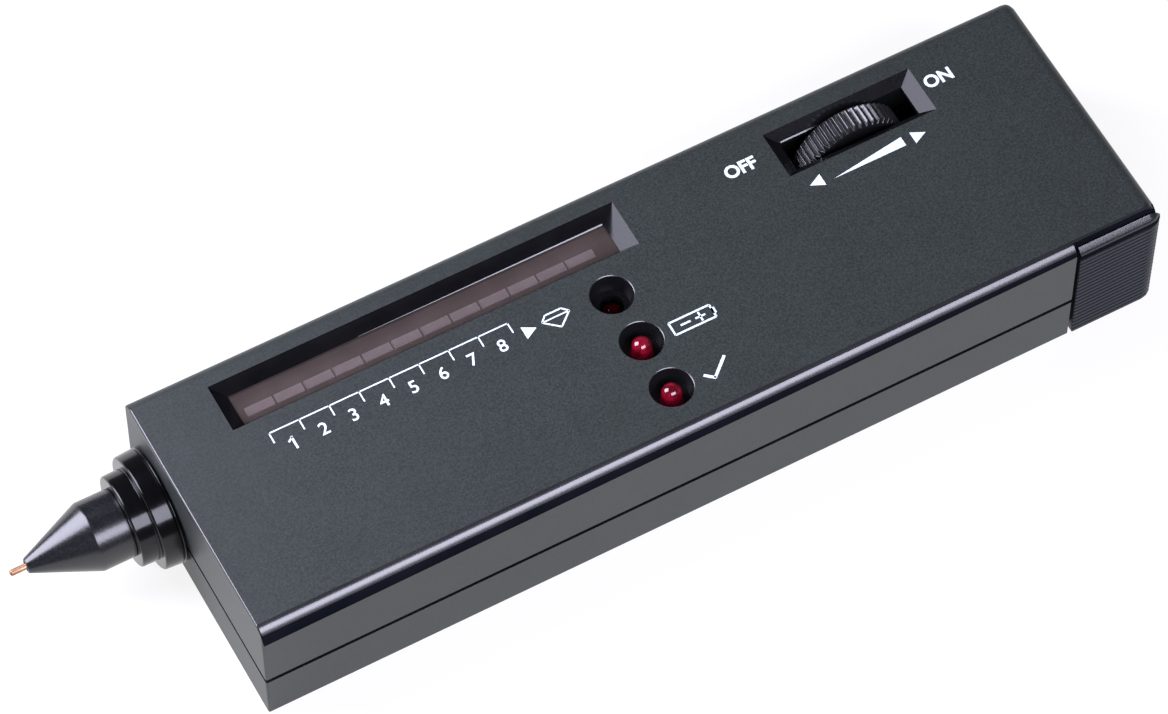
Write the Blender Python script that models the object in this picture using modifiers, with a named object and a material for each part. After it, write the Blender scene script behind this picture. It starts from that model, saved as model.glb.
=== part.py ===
"""Hand-held thermal diamond tester, built as the separate pieces of the real one.

Metres, +Z up out of the display face. -X points to the probe tip, +X to the battery
door. The origin is the centre of the case's flat underside. Places are given from the
front end and from the near side, and along() and across() turn them into the frame.
"""
import math

import bmesh
import bpy
from mathutils import Matrix, Vector

# Fits shared by all pieces
clearance = 0.0003
overrun = 0.0020
merge_distance = 0.00001
round_steps = 36
small_steps = 18
tiny_steps = 12
web_steps = 24

# Case, whose length, width and height follow from what it holds
seam_gap = 0.0006
side_wall = 0.0018
roof = 0.0023
floor = 0.0016
top_radius = 0.0024
rear_far_radius = 0.0014
rear_near_radius = 0.0024
front_edge_radius = 0.0003
bottom_radius = 0.0006
lip_thickness = 0.0010
lip_rise = 0.0012
edge_segments = 4

# Display opening, its tinted window and the bars behind it
window_from_front = 0.01138
window_length = 0.0651
display_from_battery = 0.0057
window_width = 0.0081
window_end_slope = 0.0023
window_side_slope = 0.0015
pane_thickness = 0.0012
pane_margin = 0.0012
bar_count = 12
bar_margin = 0.00205
bar_row_forward = 0.0007
bar_gap = 0.00033
bar_width = 0.0015
bar_height = 0.0018
housing_width = 0.0066
housing_end = 0.0011

# Lamps and their wells
lamp_before_window_end = 0.00758
lamp_from_window = 0.00573
lamp_nearest = 0.00794
well_radius = 0.00322
well_floor_radius = 0.0027
well_depth = 0.0030
well_floor = 0.0010
well_wall = 0.0009
lamp_radius = 0.0015
lamp_cylinder = 0.0028
lamp_flange_radius = 0.0019
lamp_flange = 0.0010
lamp_leg = 0.0005
lamp_leg_spacing = 0.00254
power_lamp_drop = 0.0036

# Wheel opening, wheel and its control
recess_before_rear = 0.04423
recess_length = 0.02448
wheel_from_battery = 0.00533
wheel_from_far_side = 0.00827
recess_width = 0.00816
recess_end_slope = 0.0020
recess_side_slope = 0.0015
recess_depth = 0.0016
wheel_radius = 0.00875
wheel_width = 0.0039
wheel_stand = 0.0012
wheel_teeth = 50
tooth_depth = 0.00040
tooth_land_shares = (0.0, 0.28, 0.72)
wheel_chamfer = 0.00045
wheel_rim = 0.0016
wheel_hub_radius = 0.0030
wheel_web_inset = 0.0007
spindle_radius = 0.0011
spindle_reach = 0.0016
wheel_screw_head_radius = 0.0017
wheel_screw_head = 0.0006
wheel_screw_radius = 0.0005
wheel_screw_length = 0.0022
control_width = 0.0098
control_thickness = 0.0023
control_headroom = 0.00065
control_round = 0.0023
control_stand = 0.0006
control_leg = 0.0006
control_leg_spacing = 0.0025

# Probe: collar, nose, pin and what pushes it
probe_from_battery = 0.00326
probe_above_table = 0.0003
neck_radius = 0.0058
flange_radius = 0.0069
flange_thickness = 0.0020
big_step_radius = 0.0090
big_step_front_radius = 0.00878
big_step_length = 0.0033
mid_step_radius = 0.00712
mid_step_length = 0.0028
step_edge = 0.0003
collar_bore = 0.0041
nose_radius = 0.0053
nose_cylinder = 0.0048
cone_length = 0.0099
cone_tip_radius = 0.0011
spigot_radius = 0.0038
spigot_length = 0.0080
nose_bore = 0.0024
nose_bore_end = 0.0073
heater_bore = 0.00135
heater_bore_length = 0.0050
pin_radius = 0.00048
pin_reach = 0.0025
pin_head_radius = 0.0019
pin_head = 0.0012
pin_tip_edge = 0.00012
pin_travel = 0.0012
carrier_radius = 0.0020
carrier_length = 0.0030
pocket_radius = 0.0011
pocket_depth = 0.0019
stem_radius = 0.0011
stem_length = 0.0124
heater_wall = 0.00028
heater_length = 0.0039
sensor_radius = 0.0006
spring_wire = 0.0004
spring_radius = 0.00168
spring_length = 0.0058
spring_turns = 6
spring_points = 10
seat_radius = 0.0021
seat_length = 0.0020
probe_lead_radius = 0.00035
probe_lead_spacing = 0.0014
probe_lead_end = 0.0168
probe_lead_from_window = 0.0066

# Battery door
door_wing = 0.01435
door_gap = 0.0008
door_wall = 0.0017
door_stand = 0.0009
door_cover = 0.0014
door_corner_radius = 0.0026
door_end_radius = 0.0050
door_rise = 0.0002
door_drop = 0.00035
door_top_wall = 0.0011
door_plate_top = 0.0006
door_tongue = 0.0005
roof_edge_from_near = 0.0015
rib_count = 20
rib_band = 0.0029
rib_depth = 0.00014
rib_start = 0.0011
rib_land_shares = (0.0, 0.12, 0.62, 0.76)
corner_steps = 4
hook_length = 0.0033
hook_thickness = 0.0010
hook_above_seam = 0.0027
hook_below_ceiling = 0.0023
door_travel = 0.0220

# Battery, snap cap and leads
battery_from_near = 0.0034
battery_length = 0.0464
battery_width = 0.0262
battery_thickness = 0.0172
battery_headroom = 0.0014
battery_behind_board = 0.0136
battery_edge = 0.0015
terminal_spacing = 0.0127
terminal_radius = 0.0028
terminal_height = 0.0021
socket_wall = 0.0007
snap_thickness = 0.0030
snap_height = 0.0115
divider_thickness = 0.0014
lead_radius = 0.00065
lead_points = 12

# Board and what stands on it
board_below_ceiling = 0.0119
board_thickness = 0.0016
board_from_front = 0.0140
board_behind_window = 0.00782
board_margin = 0.0036
arm_from_battery = 0.0008
arm_end = 0.0033
buzzer_from_front = 0.0300
buzzer_from_near = 0.0135
buzzer_radius = 0.0060
buzzer_height = 0.0062
buzzer_hole_radius = 0.0010
driver_before_lamps = 0.0209
driver_from_window = 0.00725
driver_legs = 9
amplifier_from_front = 0.0440
amplifier_from_near = 0.0105
amplifier_legs = 4
chip_leg_pitch = 0.00254
chip_width = 0.0063
chip_height = 0.0033
chip_end = 0.0011
chip_stand = 0.0005
chip_leg_width = 0.0008
chip_leg_thickness = 0.0003
chip_row_spacing = 0.0076
chip_notch_radius = 0.0008
transistor_from_front = 0.0220
transistor_from_window = 0.0077
transistor_radius = 0.0024
transistor_flat = 0.0012
transistor_height = 0.0046
transistor_stand = 0.0020
transistor_leg = 0.0005
transistor_leg_spacing = 0.00127
capacitor_before_lamps = 0.0069
capacitor_from_near = 0.0170
capacitor_from_front = 0.0185
capacitor_from_window = 0.0148
capacitor_radius = 0.0025
capacitor_height = 0.0080
capacitor_groove = 0.0004
trimmer_before_board_rear = 0.0083
trimmer_from_window = 0.00675
trimmer_size = 0.0062
trimmer_height = 0.0042
trimmer_disc_radius = 0.0021
trimmer_disc = 0.0008
trimmer_slot = 0.0006

# Screws, their posts and bosses
front_post_from_front = 0.0090
middle_post_before_board_rear = 0.0038
far_post_behind_board = 0.0037
rear_post_before_rear = 0.0139
post_radius = 0.0034
post_bite = 0.0002
boss_radius = 0.0030
screw_radius = 0.0013
screw_head_radius = 0.0024
screw_head = 0.0017
screw_seat = 0.0052
screw_below_ceiling = 0.0023
board_screw_from_front = 0.0185
board_screw_from_near = 0.0098
board_screw_before_rear = 0.0093
board_boss_radius = 0.0024
board_screw_radius = 0.0009
board_screw_head_radius = 0.0020
board_screw_head = 0.0013
board_screw_length = 0.0060

# Across the case: battery, then the strip that holds probe, display and wheel
case_halves = ("upper_case", "lower_case")
battery_far = battery_from_near + battery_width
battery_middle_across = battery_from_near + battery_width / 2
window_middle = battery_far + display_from_battery
window_from_near = window_middle - window_width / 2
wheel_across = battery_far + wheel_from_battery
recess_from_near = wheel_across - recess_width / 2
probe_from_near = battery_far + probe_from_battery
case_width = wheel_across + wheel_from_far_side
lamp_farthest = window_from_near - lamp_from_window
lamp_pitch = (lamp_farthest - lamp_nearest) / 2
door_reach = battery_far + door_cover
arm_near = battery_far + arm_from_battery
arm_far = case_width - board_margin
snap_width = battery_width - clearance - clearance
probe_lead_across = window_middle - probe_lead_from_window

# Along the case: window, lamps and board, then battery, door and wheel
window_end = window_from_front + window_length
window_centre = window_from_front + window_length / 2
bars_middle = window_centre - bar_row_forward
bar_pitch = (window_length - window_end_slope - window_end_slope - bar_margin - bar_margin) / bar_count
bar_length = bar_pitch - bar_gap
lamp_from_front = window_end - lamp_before_window_end
board_rear = window_end + board_behind_window
battery_front = board_rear + battery_behind_board
battery_rear = battery_front + battery_length
door_rear = battery_rear + clearance + door_wall
case_length = door_rear - door_stand
door_from_front = case_length - door_wing
recess_from_front = case_length - recess_before_rear
recess_middle = recess_from_front + recess_length / 2
snap_back = battery_front - clearance
snap_front = snap_back - snap_thickness

# Heights
battery_bottom = floor + clearance
battery_middle_height = battery_bottom + battery_thickness / 2
battery_top = battery_bottom + battery_thickness
ceiling = battery_top + battery_headroom
case_height = ceiling + roof
axis_height = big_step_radius + probe_above_table
seam_height = axis_height
upper_bottom = seam_height + seam_gap / 2
lower_top = seam_height - seam_gap / 2
boss_bottom = seam_height + clearance / 2
post_top = seam_height - clearance / 2
board_bottom = ceiling - board_below_ceiling
board_top = board_bottom + board_thickness
pane_top = ceiling - clearance
bar_plane = pane_top - pane_thickness - clearance
wheel_height = case_height + wheel_stand - wheel_radius
door_top = case_height - door_drop
plate_top = battery_top - door_plate_top
rib_pitch = (door_top - rib_band - rib_start) / rib_count
hook_bottom = seam_height + hook_above_seam
hook_top = ceiling - hook_below_ceiling
case_screw_end = ceiling - screw_below_ceiling

# Probe, from the front of the case forwards and back again
big_step_back = -clearance
big_step_front = big_step_back - big_step_length
mid_step_front = big_step_front - mid_step_length
nose_back = mid_step_front - clearance
cone_back = nose_back - nose_cylinder
nose_tip = cone_back - cone_length
heater_bore_back = nose_tip + cone_length - nose_bore_end + heater_bore_length
pin_head_front = heater_bore_back + clearance
pin_head_back = pin_head_front + pin_head
carrier_front = pin_head_back + clearance
carrier_back = carrier_front + carrier_length
stem_back = carrier_back + stem_length
spring_front = carrier_back + clearance
seat_front = spring_front + spring_length + clearance

# Places of screws and of the parts on the board, from the front and from the near side
lower_inset = side_wall + clearance + lip_thickness
post_inset = lower_inset + post_radius - post_bite
case_screw_places = (
    (front_post_from_front, post_inset),
    (board_rear - middle_post_before_board_rear, post_inset),
    (board_rear + far_post_behind_board, case_width - post_inset),
    (case_length - rear_post_before_rear, case_width - post_inset),
)
board_screw_places = (
    (board_screw_from_front, board_screw_from_near),
    (board_rear - board_screw_before_rear, board_screw_from_near),
)
buzzer_place = (buzzer_from_front, buzzer_from_near)
driver_place = (lamp_from_front - driver_before_lamps, window_from_near - driver_from_window)
amplifier_place = (amplifier_from_front, amplifier_from_near)
transistor_place = (transistor_from_front, window_middle - transistor_from_window)
capacitor_places = (
    (lamp_from_front - capacitor_before_lamps, capacitor_from_near),
    (capacitor_from_front, window_middle - capacitor_from_window),
)
trimmer_place = (board_rear - trimmer_before_board_rear, window_from_near - trimmer_from_window)


def along(from_front):
    """Frame X of a place measured from the front end of the case."""
    return from_front - case_length / 2


def across(from_near):
    """Frame Y of a place measured from the near side of the case."""
    return from_near - case_width / 2


def clear_scene():
    for old in list(bpy.data.objects):
        bpy.data.objects.remove(old, do_unlink=True)


clear_scene()
parts = bpy.data.collections.new("diamond_tester")
cutters = bpy.data.collections.new("cutters")
bpy.context.scene.collection.children.link(parts)
bpy.context.scene.collection.children.link(cutters)


# Materials
def material(name, colour, roughness, metallic=0.0):
    made = bpy.data.materials.new(name)
    made.use_nodes = True
    shader = made.node_tree.nodes["Principled BSDF"]
    shader.inputs["Base Color"].default_value = (*colour, 1.0)
    shader.inputs["Roughness"].default_value = roughness
    shader.inputs["Metallic"].default_value = metallic
    return made


case_black = material("case_black", (0.045, 0.05, 0.053), 0.5)
door_black = material("door_black", (0.04, 0.043, 0.05), 0.45)
gloss_black = material("gloss_black", (0.012, 0.012, 0.014), 0.15)
copper = material("copper", (0.72, 0.36, 0.22), 0.35, 1.0)
steel = material("steel", (0.6, 0.6, 0.62), 0.3, 1.0)
smoke = material("smoke", (0.16, 0.11, 0.11), 0.12)
bar_red = material("bar_red", (0.28, 0.17, 0.17), 0.4)
lamp_red = material("lamp_red", (0.35, 0.01, 0.02), 0.1)
board_green = material("board_green", (0.03, 0.2, 0.08), 0.5)
chip_black = material("chip_black", (0.02, 0.02, 0.02), 0.6)
white_plastic = material("white_plastic", (0.8, 0.79, 0.75), 0.5)
blue_plastic = material("blue_plastic", (0.03, 0.12, 0.45), 0.4)
battery_shell = material("battery_shell", (0.12, 0.13, 0.15), 0.35, 0.6)
lead_red = material("lead_red", (0.6, 0.03, 0.03), 0.45)
lead_black = material("lead_black", (0.02, 0.02, 0.02), 0.45)
ceramic = material("ceramic", (0.75, 0.7, 0.6), 0.6)


# Objects and modifiers
def add_object(name, mesh, finish=None):
    """A part takes a finish. A cutter has none, and stays out of the render."""
    made = bpy.data.objects.new(name, mesh)
    if finish is None:
        cutters.objects.link(made)
        made.hide_render = True
        made.display_type = "WIRE"
    else:
        parts.objects.link(made)
        mesh.materials.append(finish)
    return made


def mesh_from(name, bm):
    bmesh.ops.recalc_face_normals(bm, faces=bm.faces)
    mesh = bpy.data.meshes.new(name)
    bm.to_mesh(mesh)
    bm.free()
    return mesh


def combine(target, tool, operation):
    """The exact solver leaves open edges in the case halves' long chains of cuts."""
    made = target.modifiers.new(tool.name, "BOOLEAN")
    made.operation = operation
    made.object = tool
    made.solver = "MANIFOLD" if target.name in case_halves else "EXACT"


def cut(target, tool):
    combine(target, tool, "DIFFERENCE")


def fuse(target, tool):
    combine(target, tool, "UNION")


def block(name, low, high, finish=None, radii=None, segments=edge_segments):
    """A box between two corners, whose edges take the radii given by their sides.

    A key such as (0, -1, 1) is the edge along X on the near side and the top.
    """
    low = Vector(low)
    high = Vector(high)
    bm = bmesh.new()
    bmesh.ops.create_cube(bm, size=1.0)
    bmesh.ops.transform(bm, matrix=Matrix.Diagonal(high - low).to_4x4(), verts=bm.verts)
    largest = max(radii.values()) if radii else 0.0
    if largest > 0.0:
        weight = bm.edges.layers.float.new("bevel_weight_edge")
        for edge in bm.edges:
            middle = (edge.verts[0].co + edge.verts[1].co) / 2
            side = tuple(int(math.copysign(1, part)) if abs(part) > merge_distance else 0 for part in middle)
            edge[weight] = radii.get(side, 0.0) / largest
    bmesh.ops.translate(bm, vec=(low + high) / 2, verts=bm.verts)
    made = add_object(name, mesh_from(name, bm), finish)
    if largest > 0.0:
        bevel = made.modifiers.new("Rounded edges", "BEVEL")
        bevel.limit_method = "WEIGHT"
        bevel.width = largest
        bevel.segments = segments
    return made


def all_edges(radius):
    """The same radius on all twelve edges of a block."""
    sides = [(x, y, z) for x in (-1, 0, 1) for y in (-1, 0, 1) for z in (-1, 0, 1)]
    return {side: radius for side in sides if side.count(0) == 1}


def turn_to(direction):
    """Rotation that lays a turned piece's local Z along X, Y or Z."""
    return {"X": (0.0, math.pi / 2, 0.0), "Y": (-math.pi / 2, 0.0, 0.0), "Z": (0.0, 0.0, 0.0)}[direction]


def turned(name, profile, place, direction, finish=None, steps=round_steps, ring=False):
    """A profile of (distance along the axis, radius), outer side first from its far end."""
    mesh = bpy.data.meshes.new(name)
    points = [(radius, 0.0, distance) for distance, radius in profile]
    order = list(range(len(points)))
    edges = list(zip(order, order[1:]))
    if ring:
        edges.append((order[-1], order[0]))
    mesh.from_pydata(points, edges, [])
    made = add_object(name, mesh, finish)
    made.location = place
    made.rotation_euler = turn_to(direction)
    screw = made.modifiers.new("Turn", "SCREW")
    screw.axis = "Z"
    screw.steps = steps
    screw.render_steps = steps
    screw.use_merge_vertices = True
    screw.merge_threshold = merge_distance
    screw.use_smooth_shade = True
    return made


def rod(name, radius, start, end, place, direction, finish=None, steps=small_steps):
    """A plain round bar or bore from start to end along one axis through place."""
    profile = [(end, 0.0), (end, radius), (start, radius), (start, 0.0)]
    return turned(name, profile, place, direction, finish, steps)


def tube(name, radius, points, finish, resolution=2):
    """A round wire through the points."""
    curve = bpy.data.curves.new(name, "CURVE")
    curve.dimensions = "3D"
    curve.bevel_depth = radius
    curve.bevel_resolution = resolution
    curve.use_fill_caps = True
    spline = curve.splines.new("POLY")
    spline.points.add(len(points[1:]))
    for slot, point in zip(spline.points, points):
        slot.co = (*point, 1.0)
    made = bpy.data.objects.new(name, curve)
    parts.objects.link(made)
    curve.materials.append(finish)
    return made


def smooth_route(corners, count):
    """Points at equal steps on the Bezier curve that four corners pull."""
    a, b, c, d = [Vector(corner) for corner in corners]
    route = []
    for index in range(count):
        t = index / (count - 1)
        s = 1 - t
        route.append(a * s**3 + b * 3 * s * s * t + c * 3 * s * t * t + d * t**3)
    return route


def sloped_opening(name, low, high, top, depth, end_slope, side_slope):
    """Cutter for an opening whose four walls slope in from the top face."""
    bm = bmesh.new()
    bmesh.ops.create_cube(bm, size=1.0)
    size = Vector((high[0] - low[0], high[1] - low[1], depth))
    bmesh.ops.transform(bm, matrix=Matrix.Diagonal(size).to_4x4(), verts=bm.verts)
    centre = Vector(((low[0] + high[0]) / 2, (low[1] + high[1]) / 2, top - depth / 2))
    bmesh.ops.translate(bm, vec=centre, verts=bm.verts)
    for vert in bm.verts:
        if vert.co.z < centre.z:
            vert.co.x -= math.copysign(end_slope, vert.co.x - centre.x)
            vert.co.y -= math.copysign(side_slope, vert.co.y - centre.y)
    for face_z, reach in ((top, overrun), (top - depth, -overrun)):
        faces = [face for face in bm.faces if all(abs(v.co.z - face_z) < merge_distance for v in face.verts)]
        grown = bmesh.ops.extrude_face_region(bm, geom=faces)
        moved = [item for item in grown["geom"] if isinstance(item, bmesh.types.BMVert)]
        bmesh.ops.translate(bm, vec=(0.0, 0.0, reach), verts=moved)
        bmesh.ops.delete(bm, geom=faces, context="FACES_ONLY")
    return add_object(name, mesh_from(name, bm))


# Case halves
def case_radii(top):
    """Edge radii of a case half: the top half is rounded on top, the other below."""
    radii = {
        (1, 1, 0): rear_far_radius,
        (1, -1, 0): rear_near_radius,
        (-1, 1, 0): front_edge_radius,
        (-1, -1, 0): front_edge_radius,
    }
    level = 1 if top else -1
    side_radius = top_radius if top else bottom_radius
    radii[(0, 1, level)] = side_radius
    radii[(0, -1, level)] = side_radius
    radii[(1, 0, level)] = side_radius
    radii[(-1, 0, level)] = front_edge_radius
    return radii


def cut_door_room(half, name, compartment_near):
    """Room for the door's wing and plate, and the way out for the battery."""
    wing_front = along(door_from_front)
    rear = along(case_length) + overrun
    near = across(0.0) - overrun
    wing = block(
        name + "_wing_cut",
        (wing_front, near, -overrun),
        (rear, across(door_wall + clearance), ceiling - clearance),
    )
    cut(half, wing)
    edge = block(
        name + "_edge_cut",
        (wing_front, near, ceiling - clearance - overrun),
        (rear, across(roof_edge_from_near), case_height + overrun),
    )
    cut(half, edge)
    plate = block(
        name + "_plate_cut",
        (along(door_rear - door_wall - clearance), near, -overrun),
        (rear, across(door_reach + clearance), battery_top + clearance),
    )
    cut(half, plate)
    compartment = block(
        name + "_battery_cut",
        (along(battery_front + battery_length / 2), across(compartment_near), floor),
        (rear, across(battery_far + clearance), battery_top + clearance),
    )
    cut(half, compartment)


def collar_hole(half, name):
    """Neck hole through the front wall, and room behind it for the collar's flange."""
    place = (0.0, across(probe_from_near), axis_height)
    hole = rod(name + "_neck_hole", neck_radius + clearance, along(-overrun), along(lower_inset + overrun), place, "X")
    cut(half, hole)
    start = along(side_wall)
    end = along(lower_inset + overrun)
    room = rod(name + "_flange_room", flange_radius + clearance, start, end, place, "X")
    cut(half, room)


def lamp_places():
    """From the far side: the power lamp, the battery lamp, the ready lamp."""
    names = ("lamp_power", "lamp_battery", "lamp_ready")
    return [(name, lamp_nearest + lamp_pitch * (2 - index)) for index, name in enumerate(names)]


def build_upper_case():
    half = block(
        "upper_case",
        (along(0.0), across(0.0), upper_bottom),
        (along(case_length), across(case_width), case_height),
        case_black,
        case_radii(top=True),
    )
    hollow = block(
        "upper_hollow",
        (along(side_wall), across(side_wall), upper_bottom - overrun),
        (along(case_length - side_wall), across(case_width - side_wall), ceiling),
    )
    cut(half, hollow)
    for index, (from_front, from_near) in enumerate(case_screw_places, 1):
        place = (along(from_front), across(from_near), 0.0)
        fuse(half, rod(f"upper_boss_{index}", boss_radius, boss_bottom, ceiling + roof / 2, place, "Z"))
        end = case_screw_end + clearance
        cut(half, rod(f"upper_pilot_{index}", screw_radius + clearance, boss_bottom - overrun, end, place, "Z"))
    for index, (from_front, from_near) in enumerate(board_screw_places, 1):
        place = (along(from_front), across(from_near), 0.0)
        start = board_top + clearance
        fuse(half, rod(f"board_boss_{index}", board_boss_radius, start, ceiling + roof / 2, place, "Z"))
        end = board_bottom - clearance + board_screw_length + clearance
        cut(half, rod(f"board_pilot_{index}", board_screw_radius + clearance, start - overrun, end, place, "Z"))
    for name, from_near in lamp_places():
        place = (along(lamp_from_front), across(from_near), 0.0)
        bottom = case_height - well_depth - well_floor
        outer = well_floor_radius + well_wall
        fuse(half, rod(name + "_cup", outer, bottom, ceiling + roof / 2, place, "Z", steps=round_steps))
        well_top = case_height + overrun
        well_bottom = case_height - well_depth
        profile = [
            (well_top, 0.0),
            (well_top, well_radius),
            (case_height, well_radius),
            (well_bottom, well_floor_radius),
            (well_bottom, 0.0),
        ]
        cut(half, turned(name + "_well", profile, place, "Z", steps=round_steps))
        hole = lamp_radius + clearance
        cut(half, rod(name + "_hole", hole, bottom - overrun, well_bottom + overrun / 2, place, "Z"))
    window = sloped_opening(
        "window_opening",
        (along(window_from_front), across(window_from_near)),
        (along(window_end), across(window_from_near + window_width)),
        case_height,
        roof,
        window_end_slope,
        window_side_slope,
    )
    cut(half, window)
    recess = sloped_opening(
        "wheel_opening",
        (along(recess_from_front), across(recess_from_near)),
        (along(recess_from_front + recess_length), across(recess_from_near + recess_width)),
        case_height,
        recess_depth,
        recess_end_slope,
        recess_side_slope,
    )
    cut(half, recess)
    collar_hole(half, "upper")
    cut_door_room(half, "upper", door_wall + clearance)
    return half


def build_lower_case():
    half = block(
        "lower_case",
        (along(0.0), across(0.0), 0.0),
        (along(case_length), across(case_width), lower_top),
        case_black,
        case_radii(top=False),
    )
    lip_edge = side_wall + clearance
    lip = block(
        "lip",
        (along(lip_edge), across(lip_edge), floor),
        (along(case_length - lip_edge), across(case_width - lip_edge), seam_height + lip_rise),
    )
    fuse(half, lip)
    hollow = block(
        "lower_hollow",
        (along(lower_inset), across(lower_inset), floor),
        (along(case_length - lower_inset), across(case_width - lower_inset), seam_height + lip_rise + overrun),
    )
    cut(half, hollow)
    divider_near = across(battery_far + clearance)
    divider = block(
        "battery_divider",
        (along(battery_front), divider_near, floor / 2),
        (along(case_length - side_wall), divider_near + divider_thickness, board_bottom - clearance),
    )
    fuse(half, divider)
    for index, (from_front, from_near) in enumerate(case_screw_places, 1):
        place = (along(from_front), across(from_near), 0.0)
        fuse(half, rod(f"post_{index}", post_radius, floor / 2, post_top, place, "Z"))
        head_room = screw_head_radius + clearance
        top = screw_seat + clearance
        cut(half, rod(f"head_room_{index}", head_room, -overrun, top, place, "Z"))
        shank_room = screw_radius + clearance
        cut(half, rod(f"shank_room_{index}", shank_room, top - overrun, post_top + overrun, place, "Z"))
    collar_hole(half, "lower")
    cut_door_room(half, "lower", lower_inset)
    return half


# Battery door
def door_profile():
    """Section of the door's wall as depth in from its face, and height. The ribs face out.

    Above the roof's underside the wall is thinner, and its top edge is rounded.
    """
    thick_top = ceiling - clearance - clearance
    points = [(door_top_wall, thick_top), (door_wall, thick_top), (door_wall, door_rise), (0.0, door_rise)]
    for index in range(rib_count):
        bottom = rib_start + index * rib_pitch
        for share, depth in zip(rib_land_shares, (rib_depth, 0.0, 0.0, rib_depth)):
            points.append((depth, bottom + share * rib_pitch))
    points.append((rib_depth, rib_start + rib_count * rib_pitch))
    points.append((0.0, rib_start + (rib_count + rib_land_shares[1]) * rib_pitch))
    last = math.acos(1 - door_top_wall / top_radius)
    for step in range(edge_segments + 1):
        angle = last * step / edge_segments
        depth = top_radius * (1 - math.cos(angle))
        points.append((depth, door_top - top_radius * (1 - math.sin(angle))))
    return points


def build_door():
    """The section runs along the near side, round the corner and across the rear end."""
    front = along(door_from_front + door_gap)
    rear = along(door_rear)
    near = across(0.0)
    bm = bmesh.new()
    ring = [bm.verts.new((front, near + depth, height)) for depth, height in door_profile()]
    section = [bm.edges.new((ring[index - 1], ring[index])) for index in range(len(ring))]
    grown = bmesh.ops.extrude_edge_only(bm, edges=section)["geom"]
    moved = [item for item in grown if isinstance(item, bmesh.types.BMVert)]
    bmesh.ops.translate(bm, vec=(rear - door_corner_radius - front, 0.0, 0.0), verts=moved)
    end = [item for item in grown if isinstance(item, bmesh.types.BMEdge) and not item.is_wire]
    end = [edge for edge in end if all(vert in moved for vert in edge.verts)]
    swept = bmesh.ops.spin(
        bm,
        geom=moved + end,
        cent=(rear - door_corner_radius, near + door_corner_radius, 0.0),
        axis=(0.0, 0.0, 1.0),
        angle=math.pi / 2,
        steps=corner_steps,
    )
    end = [item for item in swept["geom_last"] if isinstance(item, bmesh.types.BMEdge)]
    grown = bmesh.ops.extrude_edge_only(bm, edges=end)["geom"]
    moved = [item for item in grown if isinstance(item, bmesh.types.BMVert)]
    bmesh.ops.translate(bm, vec=(0.0, door_reach - door_corner_radius, 0.0), verts=moved)
    bmesh.ops.holes_fill(bm, edges=[edge for edge in bm.edges if edge.is_boundary])
    door = add_object("battery_door", mesh_from("battery_door", bm), door_black)
    above_plate = block(
        "above_door_plate",
        (along(case_length - rear_near_radius), near + door_top_wall, plate_top),
        (rear + overrun, across(door_reach) + overrun, case_height),
    )
    cut(door, above_plate)
    envelope = block(
        "door_envelope",
        (front - overrun, near - overrun, -overrun),
        (rear + clearance, across(door_reach) + overrun, door_top + clearance),
        radii={(1, 0, 1): door_end_radius},
    )
    combine(door, envelope, "INTERSECT")
    tongue_front = along(door_rear - door_wall) + clearance
    tongue = block(
        "door_tongue",
        (tongue_front, near + side_wall + clearance, plate_top - door_tongue),
        (tongue_front + door_tongue, across(door_reach - clearance), battery_top),
    )
    fuse(door, tongue)
    hook_near = near + side_wall + clearance
    hook_back = front + hook_length / 2
    bridge = block(
        "door_hook_bridge",
        (front + clearance, near + door_wall / 2, hook_bottom),
        (hook_back, hook_near + hook_thickness / 2, hook_top),
    )
    fuse(door, bridge)
    hook = block(
        "door_hook",
        (front - hook_length, hook_near, hook_bottom),
        (hook_back, hook_near + hook_thickness, hook_top),
    )
    fuse(door, hook)
    return door


# Window, bars and their housing
def build_window():
    length = window_length / 2 - window_end_slope + pane_margin
    width = window_width / 2 - window_side_slope + pane_margin
    return block(
        "display_window",
        (along(window_centre - length), across(window_middle - width), pane_top - pane_thickness),
        (along(window_centre + length), across(window_middle + width), pane_top),
        smoke,
    )


def build_display():
    """A black block with one pocket for each bar. Each bar stands a little proud of it."""
    first = bars_middle - bar_pitch * bar_count / 2
    length = bar_pitch * bar_count / 2 + housing_end
    housing_top = bar_plane - clearance
    housing = block(
        "display_housing",
        (along(bars_middle - length), across(window_middle - housing_width / 2), board_top + clearance),
        (along(bars_middle + length), across(window_middle + housing_width / 2), housing_top),
        chip_black,
    )
    pockets = bmesh.new()
    for index in range(bar_count):
        middle = along(first + bar_pitch * (index + 1 / 2))
        low = Vector((middle - bar_length / 2, across(window_middle - bar_width / 2), bar_plane - bar_height))
        high = Vector((middle + bar_length / 2, across(window_middle + bar_width / 2), bar_plane))
        block(f"display_bar_{index + 1:02d}", low, high, bar_red)
        room = Vector((clearance / 3, clearance / 3, clearance))
        size = high + room - (low - room)
        made = bmesh.ops.create_cube(pockets, size=1.0)["verts"]
        bmesh.ops.transform(pockets, matrix=Matrix.Diagonal(size).to_4x4(), verts=made)
        bmesh.ops.translate(pockets, vec=(low + high) / 2, verts=made)
    cut(housing, add_object("bar_pockets", mesh_from("bar_pockets", pockets)))
    return housing


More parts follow.
